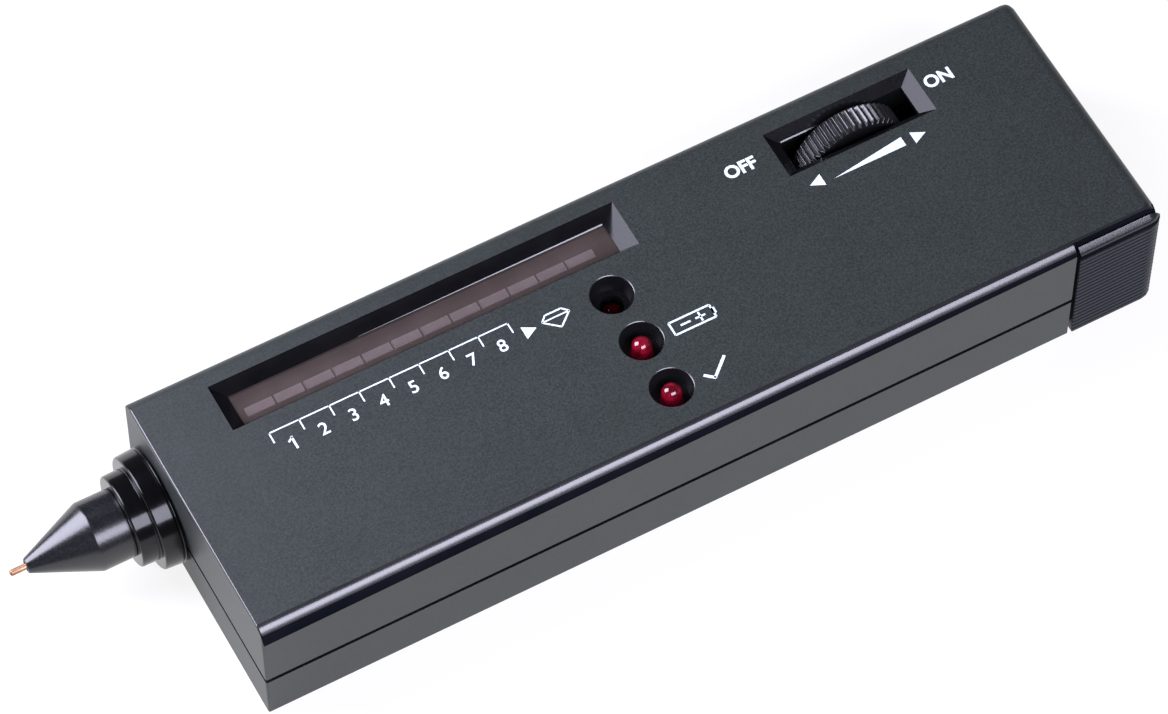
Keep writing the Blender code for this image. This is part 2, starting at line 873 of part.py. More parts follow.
def build_lamps():
    """Each lamp: a dome on a short cylinder with a flange, and two legs down to the board."""
    for name, from_near in lamp_places():
        drop = power_lamp_drop if name == "lamp_power" else 0.0
        top = case_height - drop
        place = (along(lamp_from_front), across(from_near), 0.0)
        flange_top = top - lamp_radius - lamp_cylinder
        flange_bottom = flange_top - lamp_flange
        dome_steps = 4
        profile = []
        for step in range(dome_steps + 1):
            angle = math.pi / 2 * step / dome_steps
            profile.append((top - lamp_radius + lamp_radius * math.cos(angle), lamp_radius * math.sin(angle)))
        profile += [
            (flange_top, lamp_radius),
            (flange_top, lamp_flange_radius),
            (flange_bottom, lamp_flange_radius),
            (flange_bottom, 0.0),
        ]
        lamp = turned(name, profile, place, "Z", lamp_red, steps=small_steps)
        for side, sign in (("a", -1), ("b", 1)):
            middle = across(from_near) + sign * lamp_leg_spacing / 2
            leg = block(
                f"{name}_leg_{side}",
                (place[0] - lamp_leg / 2, middle - lamp_leg / 2, board_top + clearance),
                (place[0] + lamp_leg / 2, middle + lamp_leg / 2, flange_bottom + lamp_flange / 2),
            )
            fuse(lamp, leg)


# Wheel and its control
def build_wheel():
    """Toothed rim, thin web and hub, turned about the control's spindle along Y."""
    shares = len(tooth_land_shares)
    bm = bmesh.new()
    made = bmesh.ops.create_circle(bm, cap_ends=True, radius=wheel_radius, segments=wheel_teeth * shares)
    ring = made["verts"]
    for index, vert in enumerate(ring):
        tooth, corner = divmod(index, shares)
        angle = 2 * math.pi * (tooth + tooth_land_shares[corner]) / wheel_teeth
        radius = wheel_radius - (tooth_depth if corner == 0 else 0.0)
        vert.co = (radius * math.cos(angle), radius * math.sin(angle), -wheel_width / 2 + wheel_chamfer)
    top = [face for face in bm.faces]
    grown = bmesh.ops.extrude_face_region(bm, geom=top)
    moved = [item for item in grown["geom"] if isinstance(item, bmesh.types.BMVert)]
    bmesh.ops.translate(bm, vec=(0.0, 0.0, wheel_width - 2 * wheel_chamfer), verts=moved)
    shrink = (wheel_radius - wheel_chamfer) / wheel_radius
    for face in [face for face in bm.faces if len(face.verts) > wheel_teeth]:
        level = face.calc_center_median().z
        cap = bmesh.ops.extrude_discrete_faces(bm, faces=[face])["faces"][0]
        for vert in cap.verts:
            vert.co = (vert.co.x * shrink, vert.co.y * shrink, level + math.copysign(wheel_chamfer, level))
    wheel = add_object("volume_wheel", mesh_from("volume_wheel", bm), gloss_black)
    place = (along(recess_middle), across(wheel_across), wheel_height)
    wheel.location = place
    wheel.rotation_euler = turn_to("Y")
    half = wheel_width / 2
    outer = wheel_radius - wheel_rim
    for name, start, end in (("near", -half - overrun, -half + wheel_web_inset), ("far", half - wheel_web_inset, half + overrun)):
        profile = [(end, wheel_hub_radius), (end, outer), (start, outer), (start, wheel_hub_radius)]
        cut(wheel, turned(f"wheel_web_{name}", profile, place, "Y", steps=web_steps, ring=True))
    bore = spindle_radius + clearance
    cut(wheel, rod("wheel_bore", bore, -half - overrun, half + overrun, place, "Y"))
    spindle_front = half
    spindle_end = spindle_reach + half
    spindle = rod("wheel_spindle", spindle_radius, -spindle_front, spindle_end, place, "Y", steel)
    pilot = wheel_screw_radius + clearance
    screw_end = -half + wheel_screw_length
    cut(spindle, rod("spindle_pilot", pilot, -half - overrun, screw_end + clearance, place, "Y"))
    head_back = -half - clearance
    head_front = head_back - wheel_screw_head
    profile = [
        (screw_end, 0.0),
        (screw_end, wheel_screw_radius),
        (head_back, wheel_screw_radius),
        (head_back, wheel_screw_head_radius),
        (head_front, wheel_screw_head_radius),
        (head_front, 0.0),
    ]
    turned("wheel_screw", profile, place, "Y", steel, steps=tiny_steps)
    control_near = across(wheel_across) + half + clearance
    control = block(
        "potentiometer",
        (place[0] - control_width / 2, control_near, board_top + clearance + control_stand),
        (place[0] + control_width / 2, control_near + control_thickness, ceiling - control_headroom),
        chip_black,
        {(1, 0, 1): control_round, (-1, 0, 1): control_round},
        segments=2,
    )
    for index in (-1, 0, 1):
        middle = place[0] + index * control_leg_spacing
        near = control_near + control_thickness / 2 - control_leg / 2
        leg = block(
            f"control_leg_{index + 2}",
            (middle - control_leg / 2, near, board_top + clearance),
            (middle + control_leg / 2, near + control_leg, board_top + clearance + control_stand + control_leg),
        )
        fuse(control, leg)
    start = half
    cut(control, rod("control_bore", bore, start, spindle_end + clearance, place, "Y"))


# Probe
def build_probe():
    place = (0.0, across(probe_from_near), axis_height)
    flange_front = side_wall + clearance
    flange_back = flange_front + flange_thickness

    def at(profile):
        return [(along(distance), radius) for distance, radius in profile]

    collar = [
        (flange_back, collar_bore),
        (flange_back, flange_radius),
        (flange_front, flange_radius),
        (flange_front, neck_radius),
        (big_step_back, neck_radius),
        (big_step_back, big_step_radius - step_edge),
        (big_step_back - step_edge, big_step_radius),
        (big_step_front + step_edge, big_step_front_radius),
        (big_step_front, big_step_front_radius - step_edge),
        (big_step_front, mid_step_radius),
        (mid_step_front + step_edge, mid_step_radius),
        (mid_step_front, mid_step_radius - step_edge),
        (mid_step_front, collar_bore),
    ]
    turned("probe_collar", at(collar), place, "X", gloss_black, ring=True)
    pin_bore = pin_radius + clearance
    heater_bore_front = heater_bore_back - heater_bore_length
    spigot_back = nose_back + spigot_length
    nose = [
        (spigot_back, nose_bore),
        (spigot_back, spigot_radius),
        (nose_back, spigot_radius),
        (nose_back, nose_radius),
        (cone_back, nose_radius),
        (nose_tip, cone_tip_radius),
        (nose_tip, pin_bore),
        (heater_bore_front, pin_bore),
        (heater_bore_front, heater_bore),
        (heater_bore_back, heater_bore),
        (heater_bore_back, nose_bore),
    ]
    turned("nose_cone", at(nose), place, "X", gloss_black, ring=True)
    pin_end = nose_tip - pin_reach
    pin = [
        (pin_head_back, 0.0),
        (pin_head_back, pin_head_radius),
        (pin_head_front, pin_head_radius),
        (pin_head_front, pin_radius),
        (pin_end + pin_tip_edge, pin_radius),
        (pin_end, pin_radius - pin_tip_edge),
        (pin_end, 0.0),
    ]
    turned("probe_tip", at(pin), place, "X", copper, steps=small_steps)
    pocket_back = carrier_front + pocket_depth
    carrier = [
        (stem_back, 0.0),
        (stem_back, stem_radius),
        (carrier_back, stem_radius),
        (carrier_back, carrier_radius),
        (carrier_front, carrier_radius),
        (carrier_front, pocket_radius),
        (pocket_back, pocket_radius),
        (pocket_back, 0.0),
    ]
    turned("tip_carrier", at(carrier), place, "X", white_plastic, steps=small_steps)
    heater_back = pin_head_front - clearance
    heater_front = heater_back - heater_length
    heater_inner = pin_radius + clearance
    heater_outer = heater_inner + heater_wall
    heater = [
        (heater_back, heater_inner),
        (heater_back, heater_outer),
        (heater_front, heater_outer),
        (heater_front, heater_inner),
    ]
    turned("tip_heater", at(heater), place, "X", ceramic, steps=tiny_steps, ring=True)
    bead_middle = carrier_front + sensor_radius
    bead_steps = 6
    bead = []
    for step in range(bead_steps + 1):
        angle = math.pi * step / bead_steps
        bead.append((bead_middle + sensor_radius * math.cos(angle), sensor_radius * math.sin(angle)))
    turned("thermistor", at(bead), place, "X", chip_black, steps=tiny_steps)
    seat = [
        (seat_front + seat_length, stem_radius + clearance),
        (seat_front + seat_length, seat_radius),
        (seat_front, seat_radius),
        (seat_front, stem_radius + clearance),
    ]
    turned("spring_seat", at(seat), place, "X", steel, steps=small_steps, ring=True)
    build_spring(place)
    lead_start = stem_back + clearance
    lead_end = probe_lead_end
    for index, side in ((1, -1), (2, 1)):
        y = across(probe_lead_across) + side * probe_lead_spacing / 2
        height = board_top + probe_lead_radius + clearance
        corners = [
            (along(lead_start), place[1] + side * (probe_lead_radius + clearance / 2), axis_height),
            (along((lead_start + lead_end) / 2), place[1] + side * probe_lead_radius, axis_height),
            (along((lead_start + lead_end) / 2), y, height + probe_lead_spacing),
            (along(lead_end), y, height + probe_lead_radius),
        ]
        tube(f"probe_lead_{index}", probe_lead_radius, smooth_route(corners, lead_points), white_plastic)


def build_spring(place):
    """A coil about the stem, from the carrier's shoulder to the seat."""
    reach = spring_length - spring_wire
    count = spring_turns * spring_points
    points = []
    for index in range(count + 1):
        angle = 2 * math.pi * index / spring_points
        x = along(spring_front + spring_wire / 2 + reach * index / count)
        y = place[1] + spring_radius * math.cos(angle)
        z = place[2] + spring_radius * math.sin(angle)
        points.append((x, y, z))
    tube("tip_spring", spring_wire / 2, points, steel, resolution=1)
    print("tip_spring gap between turns, m:", reach / spring_turns - spring_wire)


# Battery, snap cap and leads
def build_battery():
    battery = block(
        "battery",
        (along(battery_front + terminal_height), across(battery_from_near), battery_bottom),
        (along(battery_rear), across(battery_far), battery_bottom + battery_thickness),
        battery_shell,
        all_edges(battery_edge),
        segments=2,
    )
    snap = block(
        "battery_snap",
        (along(snap_front), across(battery_middle_across - snap_width / 2), battery_middle_height - snap_height / 2),
        (along(snap_back + terminal_height), across(battery_middle_across + snap_width / 2), battery_middle_height + snap_height / 2),
        lead_black,
    )
    for side in (-1, 1):
        y = across(battery_middle_across) + side * terminal_spacing / 2
        place = (0.0, y, battery_middle_height)
        name = "minus" if side < 0 else "plus"
        start = along(battery_front)
        end = along(battery_front + terminal_height + battery_edge)
        fuse(battery, rod(f"terminal_{name}", terminal_radius, start, end, place, "X"))
        socket_front = start - clearance
        socket_end = along(snap_back + terminal_height) + overrun
        cut(snap, rod(f"socket_{name}", terminal_radius + clearance, socket_front, socket_end, place, "X"))
    for name, side, finish in (("battery_lead_red", 1, lead_red), ("battery_lead_black", -1, lead_black)):
        y = across(battery_middle_across) + side * terminal_spacing / 4
        start = snap_front - clearance
        landing = board_rear - board_margin
        height = board_top + clearance + lead_radius
        corners = [
            (along(start), y, battery_middle_height),
            (along((start + landing) / 2), y, battery_middle_height),
            (along((start + landing) / 2), y, battery_middle_height + snap_height / 4),
            (along(landing), y, height + lead_radius),
        ]
        tube(name, lead_radius, smooth_route(corners, lead_points), finish)


# Board and what stands on it
def build_board():
    bottom = board_bottom
    drop = wheel_height - board_top
    half_chord = math.sqrt(max(wheel_radius**2 - drop**2, 0.0))
    slot_half = half_chord + 2 * clearance
    wheel_half = wheel_width / 2 + 2 * clearance
    board = block(
        "main_board",
        (along(board_from_front), across(board_margin), bottom),
        (along(board_rear), across(arm_far), board_top),
        board_green,
    )
    arm = block(
        "board_arm",
        (along(board_rear - board_margin), across(arm_near), bottom),
        (along(recess_middle + slot_half + arm_end), across(arm_far), board_top),
    )
    fuse(board, arm)
    slot = block(
        "wheel_slot",
        (along(recess_middle) - slot_half, across(wheel_across) - wheel_half, bottom - overrun),
        (along(recess_middle) + slot_half, across(wheel_across) + wheel_half, board_top + overrun),
    )
    cut(board, slot)
    for index, (from_front, from_near) in enumerate(case_screw_places, 1):
        place = (along(from_front), across(from_near), 0.0)
        radius = post_radius + clearance
        cut(board, rod(f"boss_notch_{index}", radius, bottom - overrun, board_top + overrun, place, "Z"))
    for index, (from_front, from_near) in enumerate(board_screw_places, 1):
        place = (along(from_front), across(from_near), 0.0)
        radius = board_screw_radius + clearance
        cut(board, rod(f"board_hole_{index}", radius, bottom - overrun, board_top + overrun, place, "Z"))
    return board


def build_chip(name, spot, legs):
    """A two-row chip: body with an end notch, and legs that bend down on both sides."""
    length = chip_leg_pitch * (legs - 1) + 2 * chip_end
    x, y = along(spot[0]), across(spot[1])
    bottom = board_top + clearance + chip_stand
    chip = block(
        name,
        (x - length / 2, y - chip_width / 2, bottom),
        (x + length / 2, y + chip_width / 2, bottom + chip_height),
        chip_black,
    )
    rows = bmesh.new()
    shoulder = bottom + chip_height / 2
    for index in range(legs):
        middle = x + chip_leg_pitch * (index - (legs - 1) / 2)
        for side in (-1, 1):
            outer = y + side * chip_row_spacing / 2
            inner = y + side * (chip_width / 2 - chip_leg_thickness)
            for low_y, high_y, low_z, high_z in (
                (min(inner, outer), max(inner, outer), shoulder - chip_leg_thickness, shoulder),
                (
                    min(outer, outer - side * chip_leg_thickness),
                    max(outer, outer - side * chip_leg_thickness),
                    board_top + clearance,
                    shoulder,
                ),
            ):
                made = bmesh.ops.create_cube(rows, size=1.0)["verts"]
                size = Vector((chip_leg_width, high_y - low_y, high_z - low_z))
                bmesh.ops.transform(rows, matrix=Matrix.Diagonal(size).to_4x4(), verts=made)
                centre = Vector((middle, (low_y + high_y) / 2, (low_z + high_z) / 2))
                bmesh.ops.translate(rows, vec=centre, verts=made)
    legs_tool = add_object(name + "_legs", mesh_from(name + "_legs", rows))
    joined = chip.modifiers.new("Legs", "BOOLEAN")
    joined.operation = "UNION"
    joined.object = legs_tool
    joined.solver = "EXACT"
    joined.use_self = True
    place = (x - length / 2, y, 0.0)
    top = bottom + chip_height
    cut(chip, rod(name + "_notch", chip_notch_radius, top - chip_notch_radius, top + overrun, place, "Z"))


def build_board_parts():
    x, y = along(buzzer_place[0]), across(buzzer_place[1])
    bottom = board_top + clearance
    buzzer = rod("buzzer", buzzer_radius, bottom, bottom + buzzer_height, (x, y, 0.0), "Z", chip_black, round_steps)
    hole_start = bottom + buzzer_height / 2
    cut(buzzer, rod("buzzer_hole", buzzer_hole_radius, hole_start, bottom + buzzer_height + overrun, (x, y, 0.0), "Z"))
    build_chip("display_driver", driver_place, driver_legs)
    build_chip("amplifier", amplifier_place, amplifier_legs)
    x, y = along(transistor_place[0]), across(transistor_place[1])
    base = bottom + transistor_stand
    body = rod("heater_transistor", transistor_radius, base, base + transistor_height, (x, y, 0.0), "Z", chip_black)
    flat = block(
        "transistor_flat",
        (x - transistor_radius - overrun, y - transistor_radius - overrun, base - overrun),
        (x + transistor_radius + overrun, y - transistor_flat, base + transistor_height + overrun),
    )
    cut(body, flat)
    for index in (-1, 0, 1):
        middle = x + index * transistor_leg_spacing
        leg = block(
            f"transistor_leg_{index + 2}",
            (middle - transistor_leg / 2, y - transistor_leg / 2, bottom),
            (middle + transistor_leg / 2, y + transistor_leg / 2, base + transistor_stand / 2),
        )
        fuse(body, leg)
    for index, spot in enumerate(capacitor_places, 1):
        top = bottom + capacitor_height
        groove = bottom + 3 * capacitor_groove
        profile = [
            (top, 0.0),
            (top, capacitor_radius - capacitor_groove),
            (top - capacitor_groove, capacitor_radius),
            (groove + 2 * capacitor_groove, capacitor_radius),
            (groove + capacitor_groove, capacitor_radius - capacitor_groove),
            (groove, capacitor_radius),
            (bottom, capacitor_radius),
            (bottom, 0.0),
        ]
        place = (along(spot[0]), across(spot[1]), 0.0)
        turned(f"capacitor_{index}", profile, place, "Z", blue_plastic, steps=small_steps)
    x, y = along(trimmer_place[0]), across(trimmer_place[1])
    half = trimmer_size / 2
    top = bottom + trimmer_height
    trimmer = block("calibration_trimmer", (x - half, y - half, bottom), (x + half, y + half, top), blue_plastic)
    disc_top = top + trimmer_disc
    fuse(trimmer, rod("trimmer_disc", trimmer_disc_radius, top - trimmer_disc, disc_top, (x, y, 0.0), "Z"))
    slot = block(
        "trimmer_slot_cut",
        (x - trimmer_disc_radius - overrun, y - trimmer_slot / 2, disc_top - trimmer_slot),
        (x + trimmer_disc_radius + overrun, y + trimmer_slot / 2, disc_top + overrun),
    )
    cut(trimmer, slot)


# Screws
def build_screws():
    for index, (from_front, from_near) in enumerate(case_screw_places, 1):
        place = (along(from_front), across(from_near), 0.0)
        head_bottom = screw_seat - screw_head
        profile = [
            (case_screw_end, 0.0),
            (case_screw_end - screw_radius, screw_radius),
            (screw_seat, screw_radius),
            (screw_seat, screw_head_radius),
            (head_bottom + step_edge, screw_head_radius),
            (head_bottom, screw_head_radius - step_edge),
            (head_bottom, 0.0),
        ]
        turned(f"case_screw_{index}", profile, place, "Z", steel, steps=tiny_steps)
    for index, (from_front, from_near) in enumerate(board_screw_places, 1):
        place = (along(from_front), across(from_near), 0.0)
        seat = board_bottom - clearance
        end = seat + board_screw_length
        head_bottom = seat - board_screw_head
        profile = [
            (end, 0.0),
            (end - board_screw_radius, board_screw_radius),
            (seat, board_screw_radius),
            (seat, board_screw_head_radius),
            (head_bottom, board_screw_head_radius),
            (head_bottom, 0.0),
        ]
        turned(f"board_screw_{index}", profile, place, "Z", steel, steps=tiny_steps)


build_upper_case()
build_lower_case()
build_door()
build_window()
build_display()
build_lamps()
build_wheel()
build_probe()
build_battery()
build_board()
build_board_parts()
build_screws()
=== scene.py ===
import math

import bmesh
import bpy
from mathutils import Matrix, Vector


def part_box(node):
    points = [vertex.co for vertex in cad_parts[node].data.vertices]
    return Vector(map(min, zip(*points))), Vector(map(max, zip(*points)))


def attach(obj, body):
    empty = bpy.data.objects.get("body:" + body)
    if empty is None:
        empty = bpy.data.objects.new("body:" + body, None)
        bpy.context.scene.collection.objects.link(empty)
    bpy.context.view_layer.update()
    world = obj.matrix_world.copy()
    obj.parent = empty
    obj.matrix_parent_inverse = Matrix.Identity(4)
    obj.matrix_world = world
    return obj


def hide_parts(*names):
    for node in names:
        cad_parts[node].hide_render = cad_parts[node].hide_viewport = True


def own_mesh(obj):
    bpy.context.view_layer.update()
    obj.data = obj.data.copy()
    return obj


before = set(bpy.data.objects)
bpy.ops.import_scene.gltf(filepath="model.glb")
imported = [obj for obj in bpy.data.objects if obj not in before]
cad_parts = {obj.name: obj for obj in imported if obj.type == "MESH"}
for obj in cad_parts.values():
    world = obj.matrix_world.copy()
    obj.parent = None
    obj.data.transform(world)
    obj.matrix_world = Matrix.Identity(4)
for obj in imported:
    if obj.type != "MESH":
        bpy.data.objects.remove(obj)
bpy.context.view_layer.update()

# Sizes of the tester, in metres, with the probe's axis, the wheel's middle and the pin's travel
LENGTH, WIDTH, HEIGHT = 0.1454, 0.0432, 0.0228
EDGE_RADIUS = 0.0024
SOFT_EDGE = 0.00013
PROBE_Y, PROBE_Z = 0.01126, 0.0093
WHEEL = Vector((0.04071, 0.01333, 0.01525))
LAMP_RADIUS = 0.0015
INK_THICKNESS, TYPE_SIZE = 0.00003, 0.0029

# The seam's height, and the area that every face on the parting line is under. Those faces are painted
# black as shade
SEAM_Z, SEAM_FACE = 0.0093, 0.001

# Room for small errors where two places are the same, and room round an opening or under the top face
SAME, MARGIN = 0.00001, 0.00008

# Openings of the display and the wheel (front, rear, near, far) and middles of the lamp wells, measured
# from the front and from the near side, and how far from its middle a well's rim and its inside reach
OPENINGS = ((0.01138, 0.07648, 0.03125, 0.03935), (0.10117, 0.12565, 0.03085, 0.03901))
WELLS = ((0.0689, 0.02552), (0.0689, 0.01673), (0.0689, 0.00794))
# The inside of each well is painted black as shade
WELL_RIM, WELL_INSIDE = 0.0036, 0.0034

# The near top rounding at 0, 22.5, 45, 67.5 and 90 degrees: distance in from the side, and down from
# the top. It reaches down to the height below.
FRONT_ROUNDING = ((0.0, 0.0033), (0.00008, 0.00195), (0.00036, 0.00092), (0.00122, 0.00014), (0.0019, 0.0))
REAR_ROUNDING = ((0.0, 0.0015), (0.00008, 0.00122), (0.00036, 0.00092), (0.00122, 0.00014), (0.0019, 0.0))
ROUNDING_FOOT = HEIGHT - 0.0034

# The case's wall behind the door's wing: where it starts, how deep it lies, and where it shows from. Above
# that height it is painted dark as shade
WALL_START, WALL_DEPTH, WALL_SHOWN = 0.0583, 0.0015, 0.0195

# The door's outer end and corner, its thickness at the top, and the heights where its ribs end and its
# rounding starts
DOOR_END, DOOR_CORNER, DOOR_WALL = LENGTH / 2 + 0.0009, 0.0026, 0.00115
RIBS_END, DOOR_EDGE = 0.0196, 0.02

# The ribs: where they start, one from the next, how many, the lip's share of a rib, and how far they lean
RIB_START, RIB_PITCH, RIB_COUNT = 0.0011, 0.000922, 20
RIB_LIP, RIB_LEAN = 0.12, 0.00022

# The door's top rounding, as drawn and in the solid: distance in from its face, and height
DOOR_ROUNDING = ((0.0, 0.0199), (0.0001, 0.02055), (0.00045, 0.02093), (0.0008, 0.02127), (0.0011, 0.02155))
SOLID_ROUNDING = (
    (0.0, 0.02005), (0.00007, 0.020643), (0.00029, 0.021199), (0.00064, 0.021684), (0.0011, 0.022067),
)


def x_at(from_front):
    return from_front - LENGTH / 2


def y_at(from_near):
    return from_near - WIDTH / 2


# Finishes: procedural texture on each piece's own Object coordinates

def shader_of(name):
    made = bpy.data.materials.new(name)
    made.use_nodes = True
    tree = made.node_tree
    return made, tree, tree.nodes["Principled BSDF"]


def object_place(tree):
    return tree.nodes.new("ShaderNodeTexCoord").outputs["Object"]


def noise(tree, where, scale, detail, rough=0.5):
    made = tree.nodes.new("ShaderNodeTexNoise")
    made.inputs["Scale"].default_value = scale
    made.inputs["Detail"].default_value = detail
    made.inputs["Roughness"].default_value = rough
    tree.links.new(where, made.inputs["Vector"])
    return made.outputs["Fac"]


def ramp(tree, source, low, high, first=0.35, last=0.65):
    made = tree.nodes.new("ShaderNodeValToRGB")
    for stop, position, colour in zip(made.color_ramp.elements, (first, last), (low, high)):
        stop.position = position
        stop.color = (*colour, 1)
    tree.links.new(source, made.inputs["Fac"])
    return made.outputs["Color"]


def spread(tree, source, low, high):
    made = tree.nodes.new("ShaderNodeMapRange")
    made.inputs["To Min"].default_value = low
    made.inputs["To Max"].default_value = high
    tree.links.new(source, made.inputs["Value"])
    return made.outputs["Result"]


def maths(tree, operation, *values):
    """A Math node with a number or a socket at each of its inputs."""
    made = tree.nodes.new("ShaderNodeMath")
    made.operation = operation
    for slot, value in zip(made.inputs, values):
        if isinstance(value, (int, float)):
            slot.default_value = value
        else:
            tree.links.new(value, slot)
    return made.outputs[0]


def bump(tree, shader, height, strength, distance):
    made = tree.nodes.new("ShaderNodeBump")
    made.inputs["Strength"].default_value = strength
    made.inputs["Distance"].default_value = distance
    tree.links.new(height, made.inputs["Height"])
    tree.links.new(made.outputs["Normal"], shader.inputs["Normal"])


def grained(name, dark, light, rough, grain, depth, metal=0.0, patch=90.0, speckle=0.15, shine=0.5):
    """Slow change of tone over the piece, with a finer grain in its tone, gloss and relief."""
    made, tree, shader = shader_of(name)
    where = object_place(tree)
    tone = noise(tree, where, patch, 4.0, 0.6)
    fine = noise(tree, where, grain, 2.0, 0.6)
    dotted = tree.nodes.new("ShaderNodeMix")
    dotted.inputs["Factor"].default_value = speckle
    tree.links.new(tone, dotted.inputs["A"])
    tree.links.new(fine, dotted.inputs["B"])
    tree.links.new(ramp(tree, dotted.outputs["Result"], dark, light), shader.inputs["Base Color"])
    tree.links.new(spread(tree, fine, *rough), shader.inputs["Roughness"])
    shader.inputs["Metallic"].default_value = metal
    shader.inputs["Specular IOR Level"].default_value = shine
    bump(tree, shader, fine, 0.35, depth)
    return made


def clouded(name, dark, light, rough, scale=900, detail=2.0, first=0.35, last=0.65):
    """Clear or milky plastic, with soft clouds in its tone and gloss."""
    made, tree, shader = shader_of(name)
    cloud = noise(tree, object_place(tree), scale, detail)
    tree.links.new(ramp(tree, cloud, dark, light, first, last), shader.inputs["Base Color"])
    tree.links.new(spread(tree, cloud, *rough), shader.inputs["Roughness"])
    return made, tree, shader


def ribbed_finish():
    """Black door plastic, painted lighter along the lip of each rib as a highlight."""
    made, tree, shader = shader_of("ribbed_door_plastic")
    where = object_place(tree)
    parts = tree.nodes.new("ShaderNodeSeparateXYZ")
    tree.links.new(where, parts.inputs[0])
    ribs = maths(tree, "MULTIPLY_ADD", parts.outputs["Z"], 1 / RIB_PITCH, -RIB_START / RIB_PITCH)
    # The lighter band above each rib's lip is a painted highlight
    groove, lip_highlight = (0.0032, 0.0037, 0.0046), (0.037, 0.041, 0.049)
    lip = tree.nodes.new("ShaderNodeValToRGB")
    steps = lip.color_ramp.elements
    steps[0].position, steps[0].color = 0.04, (*groove, 1)
    steps[1].position, steps[1].color = 0.44, (*groove, 1)
    for position in (0.14, 0.32):
        steps.new(position).color = (*lip_highlight, 1)
    tree.links.new(maths(tree, "FRACT", ribs), lip.inputs["Fac"])
    tree.links.new(lip.outputs["Color"], shader.inputs["Base Color"])
    tree.links.new(spread(tree, noise(tree, where, 3800, 2.0), 0.24, 0.36), shader.inputs["Roughness"])
    shader.inputs["Specular IOR Level"].default_value = 0.2
    return made


def board_finish():
    """Green lacquer over copper tracks that run along and across the board."""
    made, tree, shader = shader_of("lacquered_board")
    cells = tree.nodes.new("ShaderNodeTexVoronoi")
    cells.distance = "MANHATTAN"
    cells.feature = "DISTANCE_TO_EDGE"
    cells.inputs["Scale"].default_value = 320
    tree.links.new(object_place(tree), cells.inputs["Vector"])
    tracks = ramp(tree, cells.outputs["Distance"], (0.02, 0.16, 0.05), (0.008, 0.075, 0.024), 0.05, 0.12)
    tree.links.new(tracks, shader.inputs["Base Color"])
    shader.inputs["Roughness"].default_value = 0.35
    bump(tree, shader, cells.outputs["Distance"], 0.3, 0.00002)
    return made


def window_finish():
    """Clear brown plastic: most of what lies behind it shows through, darker and warmer."""
    made, _, shader = clouded(
        "tinted_window", dark=(0.1, 0.077, 0.068), light=(0.12, 0.092, 0.083), rough=(0.05, 0.12),
        scale=240, detail=3.0,
    )
    shader.inputs["Alpha"].default_value = 0.44
    return made


def lamp_finish(name, dark, light, specular, coat):
    """Clear red lamp body, cloudy inside, with a painted glow for the light that gathers in it."""
    made, tree, shader = clouded(name, dark, light, rough=(0.05, 0.1), first=0.4, last=0.6)
    # Painted glow: the body's own colour is also given off as light
    tree.links.new(shader.inputs["Base Color"].links[0].from_socket, shader.inputs["Emission Color"])
    shader.inputs["Emission Strength"].default_value = 0.12
    shader.inputs["Specular IOR Level"].default_value = specular
    shader.inputs["Coat Weight"].default_value = coat
    shader.inputs["Coat Roughness"].default_value = 0.04
    return made


# Case and door
moulded = grained(
    "moulded_case_plastic", dark=(0.0178, 0.0213, 0.02), light=(0.035, 0.0418, 0.0395), rough=(0.38, 0.5),
    grain=3300, depth=0.000008, speckle=0.85, shine=0.46,
)
worn_edge = grained(
    "smooth_case_edge", dark=(0.012, 0.013, 0.014), light=(0.018, 0.019, 0.021), rough=(0.25, 0.31),
    grain=4600, depth=0.000004, shine=0.9,
)
# Painted shade: a near-black finish without gloss, for the dark band on the lower near top rounding and on
# the door's top, and for the wall seen behind the door's wing
painted_dark = grained(
    "painted_dark_case_plastic", dark=(0.005, 0.0065, 0.0095), light=(0.008, 0.0095, 0.013), rough=(0.3, 0.4),
    grain=3300, depth=0.000006, shine=0.0,
)
# Smooth plastic on the slopes inside the openings, its colour painted darker than the case as shade
shaded_slope_plastic = grained(
    "smooth_shaded_slope_plastic", dark=(0.004, 0.004, 0.005), light=(0.008, 0.008, 0.009), rough=(0.1, 0.16),
    grain=2600, depth=0.00001, shine=0.17,
)
# Painted shade: near-black plastic inside the lamp wells and on the parting faces of the seam, where shade
# falls
shaded_black = grained(
    "painted_shade_black_plastic", dark=(0.004, 0.004, 0.005), light=(0.008, 0.008, 0.009), rough=(0.2, 0.35),
    grain=2600, depth=0.00001, shine=0.22,
)
door_gloss = grained(
    "smooth_door_plastic", dark=(0.006, 0.007, 0.009), light=(0.011, 0.012, 0.014), rough=(0.2, 0.3),
    grain=3000, depth=0.00002, shine=0.9,
)
ribbed_plastic = ribbed_finish()
ink = grained(
    "printed_ink", dark=(0.66, 0.76, 0.8), light=(0.76, 0.86, 0.9), rough=(0.45, 0.6),
    grain=5200, depth=0.000006, patch=2600,
)

# Probe, wheel, window and lamps
polished = grained(
    "polished_black", dark=(0.0015, 0.0015, 0.0018), light=(0.003, 0.003, 0.0036), rough=(0.1, 0.17),
    grain=900, depth=0.000003, shine=0.34,
)
satin_nose = grained(
    "satin_nose_black", dark=(0.003, 0.0033, 0.004), light=(0.008, 0.0085, 0.0105), rough=(0.21, 0.31),
    grain=2200, depth=0.00002, speckle=0.6, shine=0.66,
)
wheel_plastic = grained(
    "wheel_plastic", dark=(0.006, 0.006, 0.007), light=(0.011, 0.011, 0.013), rough=(0.27, 0.36),
    grain=2600, depth=0.000006, shine=0.9,
)
copper = grained(
    "worn_copper", dark=(0.3, 0.155, 0.09), light=(0.48, 0.28, 0.18), rough=(0.36, 0.52),
    grain=2500, depth=0.000008, metal=1.0, patch=700,
)
window_tint = window_finish()
bar_milk = clouded("milky_bar", dark=(0.86, 0.7, 0.73), light=(0.93, 0.78, 0.8), rough=(0.35, 0.5))[0]
